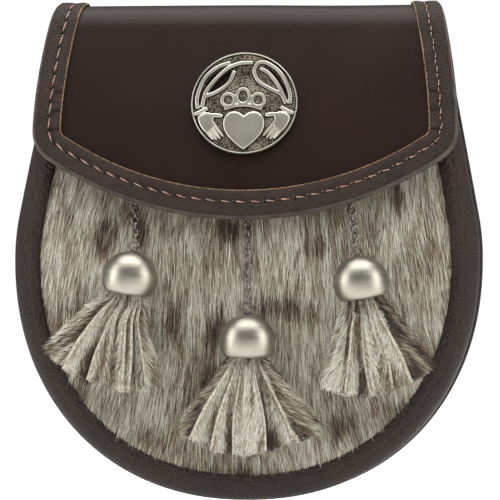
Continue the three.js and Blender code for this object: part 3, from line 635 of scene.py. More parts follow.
def bodyPath(inset, count):  # columns x, drop and the outward normal, from the left end of the mouth round
    slope = math.atan(bodyShape["sideSlope"])
    wide = bodyShape["halfWidth"]
    joinDrop = bodyShape["widestDrop"] - wide * math.sin(slope)
    drop = np.linspace(bodyShape["mouthDrop"], joinDrop, 40)
    straight = np.stack([wide * math.cos(slope) - bodyShape["sideSlope"] * (joinDrop - drop), drop,
                         0 * drop + math.cos(slope), 0 * drop - math.sin(slope)], axis=1)
    turn = slope * (1 - np.linspace(0, 1, 12)[1:])
    shoulder = np.stack([wide * np.cos(turn), bodyShape["widestDrop"] - wide * np.sin(turn),
                         np.cos(turn), -np.sin(turn)], axis=1)
    angle = np.linspace(0, np.pi / 2, 400)[1:]
    power = 2 / bodyShape["fullness"]
    across, down = np.maximum(np.cos(angle), 0) ** power, np.sin(angle) ** power
    normal = unit(np.stack([across ** (bodyShape["fullness"] - 1) / wide,
                            down ** (bodyShape["fullness"] - 1) / bodyShape["lowerHeight"]], axis=1))
    lower = np.stack([wide * across, bodyShape["widestDrop"] + bodyShape["lowerHeight"] * down,
                      normal[:, 0], normal[:, 1]], axis=1)
    right = np.concatenate([straight, shoulder, lower])
    left = right * [-1, 1, -1, 1]
    whole = np.concatenate([left, right[:-1][::-1]])
    whole[:, 0] -= inset * whole[:, 2]
    whole[:, 1] -= inset * whole[:, 3]
    return evenly(whole, count)


def bodyLoop(inset, count, topCount):
    path = bodyPath(inset, count)
    share = np.linspace(0, 1, topCount + 2)[1:-1, None]
    top = path[-1] * (1 - share) + path[0] * share
    return np.concatenate([path, top])


def frontFaceY(drop, share):
    edge = bodyDepth(drop) - panelShape["edgeSetBack"]
    return -(edge + panelShape["bulge"] * clamp(1 - share ** 2) ** panelShape["bulgePower"])


panelLoop = bodyLoop(gussetShape["rimWidth"] + gap, 320, 60)
loopAngle = np.arctan2(panelLoop[:, 1] - bodyShape["widestDrop"], panelLoop[:, 0])
loopOrder = np.argsort(loopAngle)


def shareOut(x, drop):  # 0 at the middle of the panel and 1 at its edge
    down = drop - bodyShape["widestDrop"]
    reach = np.hypot(panelLoop[:, 0], panelLoop[:, 1] - bodyShape["widestDrop"])
    edge = np.interp(np.arctan2(down, x), loopAngle[loopOrder], reach[loopOrder], period=2 * np.pi)
    return np.hypot(x, down) / edge


def hideY(x, drop):
    return frontFaceY(drop, shareOut(x, drop))


def backPanel():
    flange, thick = backShape["flange"], backShape["thickness"]
    loop = bodyLoop(-flange, 400, 60)
    inner = bodyLoop(-flange + backShape["edgeRound"], 400, 60)
    middle = np.array([0, bodyShape["widestDrop"]])
    shares = (0, 0.3, 0.6, 0.85, 1)  # from the middle of the panel out to its rounded edge

    def ring(share, y):
        place = mix(middle, inner[:, :2], share)
        return at(place[:, 0], y, place[:, 1])

    rows = [ring(share, -thick) for share in shares]
    for turn in np.linspace(0, np.pi, 9)[1:-1]:
        place = mix(inner[:, :2], loop[:, :2], math.sin(turn))
        rows.append(at(place[:, 0], -thick / 2 - thick / 2 * math.cos(turn), place[:, 1]))
    rows += [ring(share, 0) for share in shares[::-1]]
    grid = np.stack(rows)
    piece = addMesh("back_leather", grid, gridFaces(*grid.shape[:2], wrap=True))
    return finishPiece(piece, pebbledLeather, "body_leather", "back_panel")


def gussetBand():
    path = bodyPath(0, 900)
    x, drop, nx, nd = path.T
    depth = bodyDepth(drop)
    along = np.linspace(0, 1, len(path)) * 470
    round_, width, wall = gussetShape["rimRound"], gussetShape["rimWidth"], gussetShape["wall"]
    back = backShape["thickness"] + gap
    ripple = np.array([noise.noise((a / 9, 3.1, 0)) for a in along])
    pull = 0.5 + 0.5 * np.cos(2 * np.pi * along / gussetShape["puckerPitch"])
    columns = []
    for t in (0, 0.12, 0.3, 0.55, 0.8):
        columns.append((-0.25 * math.sin(math.pi * t) + 0 * depth, mix(back, depth - round_, t)))
    for turn in np.linspace(0, np.pi / 2, 9):
        columns.append((round_ * (1 - math.cos(turn)) + 0 * depth, depth - round_ * (1 - math.sin(turn))))
    for inset in (6.8, 7.6, 8.4, 9.2, 9.9, 10.4):
        crown = gussetShape["crown"] * math.sin(math.pi * (inset - 4) / 7)
        seam = smooth(inset, 8, 10.6) * gussetShape["pucker"] * (pull + 0.6 * ripple)
        columns.append((inset + 0 * depth, depth + crown - seam))
    lip = 0.12 * ripple
    columns.append((width - 0.15 + lip, depth - 0.45))
    columns.append((width + lip, depth - gussetShape["lipTurn"]))
    columns.append((width + lip, depth - gussetShape["lipTurn"] - wall))
    columns.append((width - 2.2 + 0 * depth, depth - wall - 0.3))
    for turn in np.linspace(np.pi / 2, 0, 5):
        inner = round_ - wall
        columns.append((round_ - inner * math.cos(turn) + 0 * depth, depth - round_ + inner * math.sin(turn)))
    columns.append((wall + 0 * depth, back + 0 * depth))
    lines = [at(x - inset * nx, -forward, drop - inset * nd) for inset, forward in columns]
    piece = lofted("gusset_leather", np.stack(lines, axis=1))
    return finishPiece(piece, pebbledLeather, "body_leather", "gusset")


# ---- hide front

hideShape = {"rows": 24, "hairPerCm2": 184, "lift": 0.1, "edgeLift": 0.24}
hairCoats = {
    "hide_underfur": {"hairLength": 7.5, "hairWidth": 0.36, "spread": 0.13, "toneSpread": 0.3, "tone": -0.2,
                      "seed": 11},
    "hide_guard_hair": {"hairLength": 10.5, "hairWidth": 0.28, "spread": 0.11, "toneSpread": 0.36,
                        "tone": 0.0, "seed": 12},
    "hide_top_hair": {"hairLength": 11.5, "hairWidth": 0.22, "spread": 0.08, "toneSpread": 0.32, "tone": 0.08,
                      "seed": 13},
}
# Dark places in the hide; the band just under the flap's edge at drop 86 and the wide band at the foot of the
# middle tassel at drop 188 are painted shade: x, drop, half width, half height, lean in degrees and strength.
hidePatchesAndShade = [(-57, 91, 4, 9, 10, 0.85), (-43, 84, 4, 8, -12, 0.95), (-30, 86, 6, 3, 0, 0.5),
           (-67, 119, 4, 7, 15, 0.55), (-76, 127, 3, 8, 12, 0.5), (-29, 123, 4, 7, 5, 0.4),
           (-4, 87, 5, 5, 8, 0.95), (-12, 128, 4, 9, 10, 0.9), (-14, 150, 5, 14, 4, 0.8),
           (14, 117, 6, 4, -12, 0.6), (27, 122, 6, 5, 14, 0.55), (63, 74, 3, 6, -10, 0.75),
           (38, 166, 6, 5, -20, 0.65), (63, 163, 5, 6, -25, 0.65), (-9, 188, 18, 4, 0, 1.0),
           (27, 93, 4, 5, 0, 0.45), (-37, 172, 6, 6, 20, 0.4), (72, 138, 3, 9, -10, 0.4),
           (50, 88, 3, 6, 0, 0.35), (-66, 150, 4, 7, 18, 0.4)]
hideToneAndShade = {"base": 0.65, "cloud": 0.2, "streak": 0.3, "patchAndShade": 0.56, "ragged": 0.7, "rim": 0.28}


def hideTone(x, drop):
    tone = np.full(x.shape, hideToneAndShade["base"])
    ragged = clouds(x, drop, 5, 18, 9.4)
    streaks = hideToneAndShade["streak"] * clouds(x, drop, 2.6, 15, 5.2)
    tone += hideToneAndShade["cloud"] * clouds(x, drop, 16, 34, 1.7) + streaks
    for px, pDrop, halfX, halfDrop, lean, strength in hidePatchesAndShade:
        c, s = math.cos(rad(lean)), math.sin(rad(lean))
        dx, dd = x - px, drop - pDrop
        away = np.hypot((c * dx + s * dd) / halfX, (c * dd - s * dx) / halfDrop)
        away = away + hideToneAndShade["ragged"] * ragged
        # the dark places, two of which are painted shade under the flap's edge and at the foot of the middle
        # tassel
        tone -= hideToneAndShade["patchAndShade"] * strength * smooth(1.45 - away, 0, 1)
    # painted shade: the hair darkens near the panel's edge in its lower part, in the shadow of the rim
    tone -= hideToneAndShade["rim"] * smooth(shareOut(x, drop), 0.92, 0.99) * smooth(drop, 110, 160)
    return clamp(tone, 0.06, 0.95)


def hairBlade():  # one unit long, one unit wide, bowed up a little, with its tip down
    stations = [(0, 0.7, 0), (0.5, 1, 0.05)]
    points = [[x, side * width / 2, z] for x, width, z in stations for side in (1, -1)] + [[1, 0, 0]]
    faces = [(0, 1, 3, 2), (2, 3, 4)]
    mesh = bpy.data.meshes.new("hair blade")
    mesh.from_pydata(points, [], faces)
    mesh.shade_smooth()
    along = mesh.attributes.new("along", "FLOAT", "POINT")
    along.data.foreach_set("value", [p[0] for p in points])
    blade = bpy.data.objects.new("hair blade", mesh)
    bpy.context.scene.collection.objects.link(blade)
    return blade


def growHair(name, grid, fields, settings, seed):
    skin = addMesh("skin", grid, gridFaces(*grid.shape[:2], wrap=settings.get("wrap", False)),
                   towards=(0, -1, 0))
    for label, values in fields.items():
        flat = values.reshape(-1, 3) if values.ndim == 3 else values.ravel()
        setAttribute(skin, label, flat)
    piece = runTree(name, skin, hairGrowth, {
        "Density": settings["hairPerCm2"] * 1e4, "Seed": seed, "Blade": blade,
        "Length": settings["hairLength"] * mm, "Width": settings["hairWidth"] * mm,
        "Spread": settings["spread"], "Tone Spread": settings["toneSpread"], "Material": hairFinish})
    discard(skin)
    for label in ("flow", "tone", "lift", "size", "thickness", "along"):
        if label in piece.data.attributes:
            piece.data.attributes.remove(piece.data.attributes[label])
    return piece


def joinPieces(name, pieces):
    bpy.ops.object.select_all(action="DESELECT")
    for piece in pieces:
        piece.select_set(True)
    bpy.context.view_layer.objects.active = pieces[0]
    bpy.ops.object.join()
    pieces[0].name = name
    pieces[0].data.name = name
    return pieces[0]


def panelGrid(shares):
    middle = bodyShape["widestDrop"]
    x = np.outer(shares, panelLoop[:, 0])
    drop = middle + np.outer(shares, panelLoop[:, 1] - middle)
    y = frontFaceY(drop, np.broadcast_to(shares[:, None], x.shape))
    return x, drop, y


def hidePanel():
    x, drop, y = panelGrid(np.linspace(0, 1, hideShape["rows"]))
    outer = at(x, y, drop)
    inner = at(x, y + panelShape["thickness"], drop)
    piece = thickSheet("hide_front", outer, inner, wrap=True)
    return finishPiece(piece, panelFinish, "hide", "front_panel")


def panelHair():
    x, drop, y = panelGrid(np.linspace(0.02, 1, 90))
    grid = at(x, y, drop)
    share = shareOut(x, drop)
    outward = 0.16 * (x / 80) + 0.16 * clouds(x, drop, 22, 22, 7.7)
    low = smooth(drop, 110, 190)
    outward = outward + 0.35 * low * x / 80
    slopeY = np.where(drop > 0, (hideY(x, drop + 1) - hideY(x, drop - 1)) / 2, 0)
    acrossY = (hideY(x + 1, drop) - hideY(x - 1, drop)) / 2
    flow = unit(np.stack([outward, slopeY + acrossY * outward, -np.ones(x.shape)], axis=-1))
    nearEdge = smooth(share, 0.86, 0.99) * smooth(drop, 120, 170)
    lift = hideShape["lift"] + hideShape["edgeLift"] * nearEdge
    fields = {"flow": flow, "tone": hideTone(x, drop), "lift": lift,
              "size": 1 - 0.25 * nearEdge - 0.3 * smooth(share, 0.93, 1) * (drop < 150),
              "thickness": smooth(drop, 44, 52)}
    for name, coat in hairCoats.items():
        layer = {**fields, "tone": clamp(fields["tone"] + coat["tone"], 0.02, 0.98)}
        hair = growHair(name, grid, layer, {**hideShape, **coat, "wrap": True}, coat["seed"])
        finishPiece(hair, None, "hair")


# ---- flap: s runs along its middle, from the end of the tail over the bend and down the front

flapShape = {"thickness": 2.5, "tailLength": 14, "bendRadius": 14, "bendAngle": 158, "frontLength": 82.1,
             "frontTurn": 12.5, "halfWidth": 86.8, "topNarrowing": 8.2, "narrowingPower": 1.7,
             "cornerRadius": 15, "lowerRadius": 142, "crown": 3, "edgeInset": 1.3}
bindingShape = {"width": 11.5, "leather": 1, "startAngle": 22, "stitchInset": 7, "puff": 0.28, "groove": 0.25,
                "holeDip": 0.3, "stitchPitch": 6, "step": 0.4, "cutEdge": 0.42}

bendStart = flapShape["tailLength"]
frontStart = bendStart + flapShape["bendRadius"] * rad(flapShape["bendAngle"])
flapEnd = frontStart + flapShape["frontLength"]
tailY = gap + flapShape["thickness"] / 2
bendY = tailY - flapShape["bendRadius"]
bendDrop = flapShape["bendRadius"] + flapShape["thickness"] / 2
frontRadius = flapShape["frontLength"] / rad(flapShape["frontTurn"])


def flapLine(s):
    s = np.asarray(s, float)
    bend = clamp((s - bendStart) / flapShape["bendRadius"], 0, rad(flapShape["bendAngle"]))
    angle = bend + np.maximum(s - frontStart, 0) / frontRadius
    y = bendY + flapShape["bendRadius"] * np.cos(bend) + frontRadius * (np.cos(angle) - np.cos(bend))
    drop = bendDrop - flapShape["bendRadius"] * np.sin(bend) - frontRadius * (np.sin(angle) - np.sin(bend))
    return y, drop + np.maximum(bendStart - s, 0), angle


def flapPoint(x, s, height):
    y, drop, angle = flapLine(s)
    down = clamp((s - frontStart) / flapShape["frontLength"])
    lieBack = flapShape["crown"] * down ** 1.5 * (x / flapShape["halfWidth"]) ** 2
    return at(x, y + lieBack + height * np.cos(angle), drop - height * np.sin(angle))


cornerReach = flapShape["lowerRadius"] - flapShape["cornerRadius"]
cornerX = flapShape["halfWidth"] - flapShape["cornerRadius"]
cornerS = flapEnd - flapShape["lowerRadius"] + math.sqrt(cornerReach ** 2 - cornerX ** 2)
cornerTurn = math.acos(cornerX / cornerReach)


def flapHalfWidth(s):
    topS = bendStart + flapShape["bendRadius"] * math.pi / 2
    up = clamp((cornerS - s) / (cornerS - topS))
    return flapShape["halfWidth"] - flapShape["topNarrowing"] * up ** flapShape["narrowingPower"]


def lowerEdge(inset, cornerSteps, arcSteps):  # from the left corner to the right, as columns x and s
    turn = cornerTurn * np.arange(cornerSteps) / cornerSteps
    radius = flapShape["cornerRadius"] - inset
    left = np.stack([-cornerX - radius * np.cos(turn), cornerS + radius * np.sin(turn)], axis=1)
    half = math.pi / 2 - cornerTurn
    sweep = np.linspace(-half, half, arcSteps + 1)
    arc = flapShape["lowerRadius"] - inset
    bottom = np.stack([arc * np.sin(sweep), flapEnd - flapShape["lowerRadius"] + arc * np.cos(sweep)], axis=1)
    return np.concatenate([left, bottom, left[::-1] * [-1, 1]])


def flapLeather():
    edge = lowerEdge(flapShape["edgeInset"], 12, 84)
    widest = flapShape["halfWidth"] - flapShape["edgeInset"]
    upper = np.linspace(0, cornerS, 100)
    x = edge[:, 0] * (flapHalfWidth(upper)[:, None] - flapShape["edgeInset"]) / widest
    s = np.broadcast_to(upper[:, None], x.shape)
    share = np.linspace(0, 1, 26)[1:, None]
    x = np.concatenate([x, np.broadcast_to(edge[:, 0], (len(share), len(edge)))])
    s = np.concatenate([s, cornerS + share * (edge[:, 1] - cornerS)])
    lift = 0.35 * clouds(x, s, 45, 30, 2.2)
    half = flapShape["thickness"] / 2
    piece = thickSheet("flap_leather", flapPoint(x, s, half + lift), flapPoint(x, s, -half + lift))
    return finishPiece(piece, smoothLeather, "flap_leather", "flap")


bindingStart = bendStart + flapShape["bendRadius"] * rad(bindingShape["startAngle"])


def bindingPlace(inset, step):  # the line at this inset, from the left end at the back round to the right
    sideSteps = int((cornerS - bindingStart) / step)
    side = np.linspace(bindingStart, cornerS, sideSteps, endpoint=False)
    left = np.stack([-(flapHalfWidth(side) - inset), side], axis=1)
    cornerSteps = int(flapShape["cornerRadius"] * cornerTurn / step)
    arcSteps = int(flapShape["lowerRadius"] * (math.pi - 2 * cornerTurn) / step)
    return np.concatenate([left, lowerEdge(inset, cornerSteps, arcSteps), left[::-1] * [-1, 1]])


def pathLength(points):
    steps = np.linalg.norm(np.diff(points, axis=0), axis=1)
    return np.concatenate([[0], np.cumsum(steps)])


def flapBinding():
    inner = flapShape["thickness"] / 2 + gap
    outer = inner + bindingShape["leather"]
    line = bindingPlace(bindingShape["stitchInset"], bindingShape["step"])
    along = pathLength(flapPoint(line[:, 0], line[:, 1], outer))
    pitch = bindingShape["stitchPitch"]
    toHole = along / pitch % 1 * pitch
    toHole = np.minimum(toHole, pitch - toHole)
    hole = np.exp(-(toHole / 0.8) ** 2)
    ripple = np.array([noise.noise((a / 7, 0.4, 8.8)) for a in along])
    pleats = pleatDepth(along)
    face = [11.5, 11.2, 10.6, 9.8, 9, 8.3, 7.8, 7.4, 7, 6.6, 6.2, 5.6, 4.8, 4, 3.2, 2.4, 1.7]
    section = []  # inset from the flap's edge, height above its middle, and the place across the leather
    for inset in face:
        t = abs(inset - bindingShape["stitchInset"])
        seam = math.exp(-(t / 0.7) ** 2)
        bulge = bindingShape["puff"] * (1 - math.exp(-(t / 1.6) ** 2)) * (1 - smooth(inset, 10.2, 11.5))
        height = outer + bulge - seam * (bindingShape["groove"] + bindingShape["holeDip"] * hole)
        height = height + 0.1 * ripple * (1 - seam) - pleats * smooth(inset, 7.2, 8.4)
        section.append((inset, height, inset))
    for turn in np.linspace(0, math.pi, 11)[1:-1]:
        section.append((1.5 * (1 - math.sin(turn)), (outer - 0.02) * math.cos(turn), 0.0))
    for inset in (1.7, 4, 7, 9.5, 11.5):
        section.append((inset, -outer, inset))
    fold = flapShape["edgeInset"] - gap
    section += [(11.5, -inner, 11.5), (fold, -inner, 5.0), (fold, inner, 5.0), (11.5, inner, 11.5)]
    columns, acrosses = [], []
    for inset, height, across in section:
        place = bindingPlace(inset, bindingShape["step"])
        columns.append(flapPoint(place[:, 0], place[:, 1], height))
        acrosses.append(np.full(len(place), across / bindingShape["width"]))
    sections = np.stack(columns, axis=1)
    piece = lofted("flap_binding_leather", sections)
    across = np.concatenate([np.stack(acrosses, axis=1).ravel(), [0.5, 0.5]])
    lengthwise = np.concatenate([np.repeat(along / 100, len(section)), [0, 1]])
    addUv(piece, "bindingUv", lengthwise, across)
    return finishPiece(piece, bindingFinish, "binding_leather", "flap_binding")


pleatShape = {"depth": 0.75, "width": 0.45, "places": (-9, -1, 7)}


def pleatDepth(along):  # the small folds that take up the leather where it turns the two lower corners
    sideLength = cornerS - bindingStart
    whole = along[-1]
    depth = np.zeros_like(along)
    for place in pleatShape["places"]:
        for centre in (sideLength + place, whole - sideLength - place):
            depth += pleatShape["depth"] * np.exp(-((along - centre) / pleatShape["width"]) ** 2)
    return depth


def bindingCutEdge():
    inner = flapShape["thickness"] / 2 + gap
    outer = inner + bindingShape["leather"]
    width = bindingShape["width"]
    corners = [(width - 0.1, outer + 0.02), (width + 0.3, outer - 0.1),
               (width + bindingShape["cutEdge"], inner + 0.05), (width - 0.1, inner + 0.05)]
    columns = []
    for inset, height in corners:
        place = bindingPlace(inset, 0.8)
        columns.append(flapPoint(place[:, 0], place[:, 1], height))
    piece = lofted("flap_binding_cut_edge", np.stack(columns, axis=1))
    return finishPiece(piece, edgeFinish, "binding_leather")


threadShape = {"radius": 0.22, "length": 5.3, "ply": 0.07, "sink": 0.25, "sides": 6}
threadLift = 0.12  # height of a stitch's middle above its leather


def stitchShape():  # a short length of two-ply thread whose ends go down into their holes
    stations = np.linspace(-1, 1, 11)
    sides = threadShape["sides"]
    rings = []
    for t in stations:
        turn = 2 * np.pi * np.arange(sides) / sides
        swell = threadShape["radius"] + threadShape["ply"] * np.cos(2 * turn + 5 * t)
        taper = math.sqrt(max(1 - abs(t) ** 6, 0.05))
        centre = -threadShape["sink"] * abs(t) ** 4
        rings.append(np.stack([0 * turn + t * threadShape["length"] / 2, swell * taper * np.cos(turn),
                               centre + swell * taper * np.sin(turn)], axis=1))
    return lofted("stitch", np.stack(rings))


def holeShape():
    profile = [(0.01, 0.1), (0.35, 0.09), (0.65, 0.02), (0.6, -0.2), (0.01, -0.22)]
    return lathed("needle hole", profile, 10, lambda rings: rings * [0.75, 1.3, 1])


def flapStitches():
    inset = bindingShape["stitchInset"]
    outer = flapShape["thickness"] / 2 + gap + bindingShape["leather"]
    line = bindingPlace(inset, 1.0)
    thread = {"pitch": bindingShape["stitchPitch"], "slant": -7, "uneven": 2.5, "seed": 4}
    hole = {"pitch": bindingShape["stitchPitch"], "seed": 5}
    for name, side in (("front", 1), ("back", -1)):
        height = outer - bindingShape["groove"] * (side > 0) + threadLift
        points = flapPoint(line[:, 0], line[:, 1], side * height)
        ups = unit(points - flapPoint(line[:, 0], line[:, 1], 0))
        middlePoints, middleUps = trimmed(points, ups, bindingShape["stitchPitch"] / 2)
        pathPieces(f"flap_stitches_{name}", middlePoints, middleUps, stitch, thread, threadFinish, "thread")
        if side > 0:
            lowered = flapPoint(line[:, 0], line[:, 1], height + 0.14)
            pathPieces("flap_needle_holes", lowered, ups, needle, hole, holeFinish, "thread")


# ---- badge, modelled face up on the xy plane with its top towards +y

badgeShape = {"radius": 21.75, "base": 1.3, "rimHeight": 1.9, "rimWidth": 0.75, "relief": 2.0, "heart": 2.6,
              "drop": 42.2, "voxel": 0.24, "band": 1.75}


def spline(points, count):  # a smooth line through the points
    points = np.asarray(points, float)
    padded = np.concatenate([[2 * points[0] - points[1]], points, [2 * points[-1] - points[-2]]])
    t = np.linspace(0, len(points) - 1 - 1e-6, count)
    k = t.astype(int)
    f = (t - k)[:, None]
    a, b, c, d = padded[k], padded[k + 1], padded[k + 2], padded[k + 3]
    square, cube = 2 * a - 5 * b + 4 * c - d, 3 * b - a - 3 * c + d
    return 0.5 * (2 * b + (c - a) * f + square * f ** 2 + cube * f ** 3)


def reliefBand(points, width, top, taper=0.0):  # a band with a rounded back, standing on the ground
    line = spline(points, 8 * len(points))
    along = np.gradient(line, axis=0)
    side = unit(np.stack([-along[:, 1], along[:, 0]], axis=1))
    share = np.linspace(0, 1, len(line))
    half = width / 2 * (1 - taper * (2 * share - 1) ** 4)
    profile = [(-1, 0), (-1, 0.55), (-0.75, 0.9), (-0.35, 1), (0.35, 1), (0.75, 0.9), (1, 0.55), (1, 0)]
    low = badgeShape["base"] - 0.4
    rings = []
    for outward, height in profile:
        flat = line + side * half[:, None] * outward
        rings.append(np.concatenate([flat, np.full((len(line), 1), mix(low, top, height))], axis=1))
    return lofted("band", np.stack(rings, axis=1))


def reliefPlate(outline, centre, top, round_=0.5):  # a plate with rounded shoulders, from its outline
    outline = np.asarray(outline, float)
    centre = np.asarray(centre, float)
    low = badgeShape["base"] - 0.4
    away = np.linalg.norm(outline - centre, axis=1, keepdims=True)
    rings = []
    for inward, height in ((0, low), (0, top - round_), (0.15 * round_, top - 0.4 * round_),
                           (0.45 * round_, top - 0.1 * round_), (round_, top), (2.5 * round_, top + 0.08)):
        share = np.maximum(1 - inward / away, 0.05)
        flat = centre + (outline - centre) * share
        rings.append(np.concatenate([flat, np.full((len(flat), 1), height)], axis=1))
    return lofted("plate", np.stack(rings))


def bezier(a, b, c, d, count):
    t = np.linspace(0, 1, count, endpoint=False)[:, None]
    a, b, c, d = (np.asarray(p, float) for p in (a, b, c, d))
    return a * (1 - t) ** 3 + 3 * b * t * (1 - t) ** 2 + 3 * c * t ** 2 * (1 - t) + d * t ** 3


def heartOutline():
    right = np.concatenate([bezier((0, -20.2), (4.6, -16.8), (8.9, -12.9), (8.4, -8.2), 24),
                            bezier((8.4, -8.2), (8, -3.6), (2.6, -2.2), (0, -6), 24)])
    return np.concatenate([right, right[::-1][:-1] * [-1, 1]])


leftHand = {
    "palm": [(-18.8, -5.9), (-15.6, -4.1), (-13.2, -4.6), (-12.3, -6.4), (-12.7, -8.2), (-12, -9.6),
             (-13.6, -11.6), (-15.4, -12.6), (-17.2, -10.6), (-18.4, -8.2)],
    "fingers": [((-13.2, -7.4), (-10.6, -11.1), (-8.1, -14.5)),
                ((-14.2, -8.6), (-11.7, -12.1), (-9.4, -15.4)),
                ((-15.3, -9.6), (-12.9, -12.9), (-10.8, -15.9)),
                ((-16.4, -10.4), (-14.2, -13.4), (-12.3, -15.7))],
    "thumb": ((-14.4, -5.3), (-11.4, -5.3), (-8.6, -5.7)),
    "cuff": ((-20, -5), (-17.4, -3.7), (-14.9, -2.3)),
}
crownRings = [(-6.5, 1.2, 3.1, 3.2), (-0.5, 2.8, 3.1, 3.7), (5.7, 1.2, 3.1, 3.2)]  # x, y, half sizes
bands = [
    [(-18.9, -2.6), (-19.2, 2.4), (-16.6, 10.2), (-11.4, 15.2), (-6, 17.4)],
    [(-17.2, -2), (-15.4, 5.4), (-8.6, 13.6), (-2.6, 16.9), (3.2, 17.3)],
    [(-15.9, 2.9), (-11.6, 4.6), (-6.6, 8.4), (-4.2, 13.8)],
    [(18.6, -0.4), (18.4, 4.6), (15, 12.2), (9.6, 16.8), (5.6, 17.2), (3.8, 13.8), (5.8, 9.2), (10.6, 6),
     (15, 3.6), (17, -0.4)],
    [(6.2, 14.8), (9.6, 12.8), (13.6, 7.6), (17, 0.4)],
    [(-8, -2.6), (-4.2, -1.3), (-0.5, -0.9), (3.4, -1.3), (7.2, -2.6)],
]
openings = [  # narrow crescents cut right through the ground, as outer line and inner line
    ([(-17.9, -1.4), (-17.8, 3.2), (-14.4, 10.4), (-9, 15.2)],
     [(-17.4, -1.4), (-16.2, 4.6), (-12.4, 10.8), (-9, 14.4)]),
    ([(17.4, 1.2), (16.6, 6.4), (12.6, 12.6), (7.8, 15.8)],
     [(16.9, 1.4), (14.9, 7.2), (11.4, 12), (7.6, 14.9)]),
    ([(-14.3, 4.6), (-11.6, 9), (-8.2, 12.6), (-5.4, 14.3)],
     [(-13.4, 4.6), (-10.2, 6.2), (-7, 9.2), (-5.2, 13)]),
]


def mirrored(points):
    return [(-x, y + 0.4) for x, y in points]


def badgeParts():
    top = badgeShape["relief"]
    parts = []
    for turn in (list, mirrored):
        parts.append(reliefPlate(spline(turn(leftHand["palm"] + leftHand["palm"][:1]), 60)[:-1],
                                 turn([(-15, -8.6)])[0], top + 0.15))
        parts += [reliefBand(turn(finger), 1.15, top + 0.15, 0.35) for finger in leftHand["fingers"]]
        parts.append(reliefBand(turn(leftHand["thumb"]), 1.8, top + 0.15, 0.4))
        parts.append(reliefBand(turn(leftHand["cuff"]), 1.7, top + 0.3))
    for x, y, halfX, halfY in crownRings:
        turn = np.linspace(0, 2 * np.pi, 13)
        ring = [(x + (halfX - 0.5) * math.cos(a), y + (halfY - 0.5) * math.sin(a)) for a in turn]
        parts.append(reliefBand(ring, 1.6, top))
    parts += [reliefBand(band, badgeShape["band"], top) for band in bands]
    parts.append(reliefPlate(heartOutline(), (0, -10.4), badgeShape["heart"], 0.7))
    return parts


def badgeGround():
    radius, base = badgeShape["radius"], badgeShape["base"]
    rim, width = badgeShape["rimHeight"], badgeShape["rimWidth"]
    profile = [(0.01, 0), (radius - 0.5, 0), (radius - 0.1, 0.2), (radius, 0.6), (radius, rim - 0.5),
               (radius - 0.12, rim - 0.12), (radius - 0.35, rim), (radius - width + 0.2, rim),
               (radius - width, rim - 0.3), (radius - width - 0.3, base), (0.01, base)]
    ground = lathed("ground", profile, 120)
    for outerLine, innerLine in openings:
        ring = np.concatenate([spline(outerLine, 20), spline(innerLine[::-1], 20)])
        count = len(ring)
        low = np.concatenate([ring, np.full((count, 1), -2.0)], axis=1)
        high = np.concatenate([ring, np.full((count, 1), 3.0)], axis=1)
        tool = lofted("opening", np.stack([low, high]))
        modifier = ground.modifiers.new("opening", "BOOLEAN")
        modifier.operation = "DIFFERENCE"
        modifier.object = tool
        applyModifiers(ground)
        discard(tool)
    return ground


def applyModifiers(piece):
    bpy.context.view_layer.update()
    graph = bpy.context.evaluated_depsgraph_get()
    mesh = bpy.data.meshes.new_from_object(piece.evaluated_get(graph), depsgraph=graph)
    piece.modifiers.clear()
    piece.data = mesh


def badgePlace(points, height):  # from the badge's own plane, in millimetres, to its place on the flap
    s = np.linspace(frontStart, flapEnd, 4000)
    s = s[np.searchsorted(flapLine(s)[1], badgeShape["drop"])]
    centre = flapPoint(0, s, height)
    angle = float(flapLine(s)[2]) - math.pi / 2
    c, si = math.cos(angle), math.sin(angle)
    x, y, z = points.T
    return np.stack([x, c * y - si * z, si * y + c * z], axis=1) + centre


def badgePiece():
    piece = joinPieces("badge", [badgeGround(), *badgeParts()])
    remesh = piece.modifiers.new("cast", "REMESH")
    remesh.mode = "VOXEL"
    remesh.voxel_size = badgeShape["voxel"] * mm
    remesh.adaptivity = 0.0
    soften = piece.modifiers.new("soften", "SMOOTH")
    soften.factor = 0.5
    soften.iterations = 2
    applyModifiers(piece)
    points = np.zeros(len(piece.data.vertices) * 3)
    piece.data.vertices.foreach_get("co", points)
    points = points.reshape(-1, 3) / mm
    base = badgeShape["base"]
    setAttribute(piece, "relief", (points[:, 2] - base) / (badgeShape["relief"] - base))
    placed = badgePlace(points, flapShape["thickness"] / 2 + gap)
    piece.data.vertices.foreach_set("co", (placed * mm).ravel())
    piece.data.shade_smooth()
    piece.data.update()
    return finishPiece(piece, pewterFinish, "pewter", "concho")


# ---- caps, chains and tassels

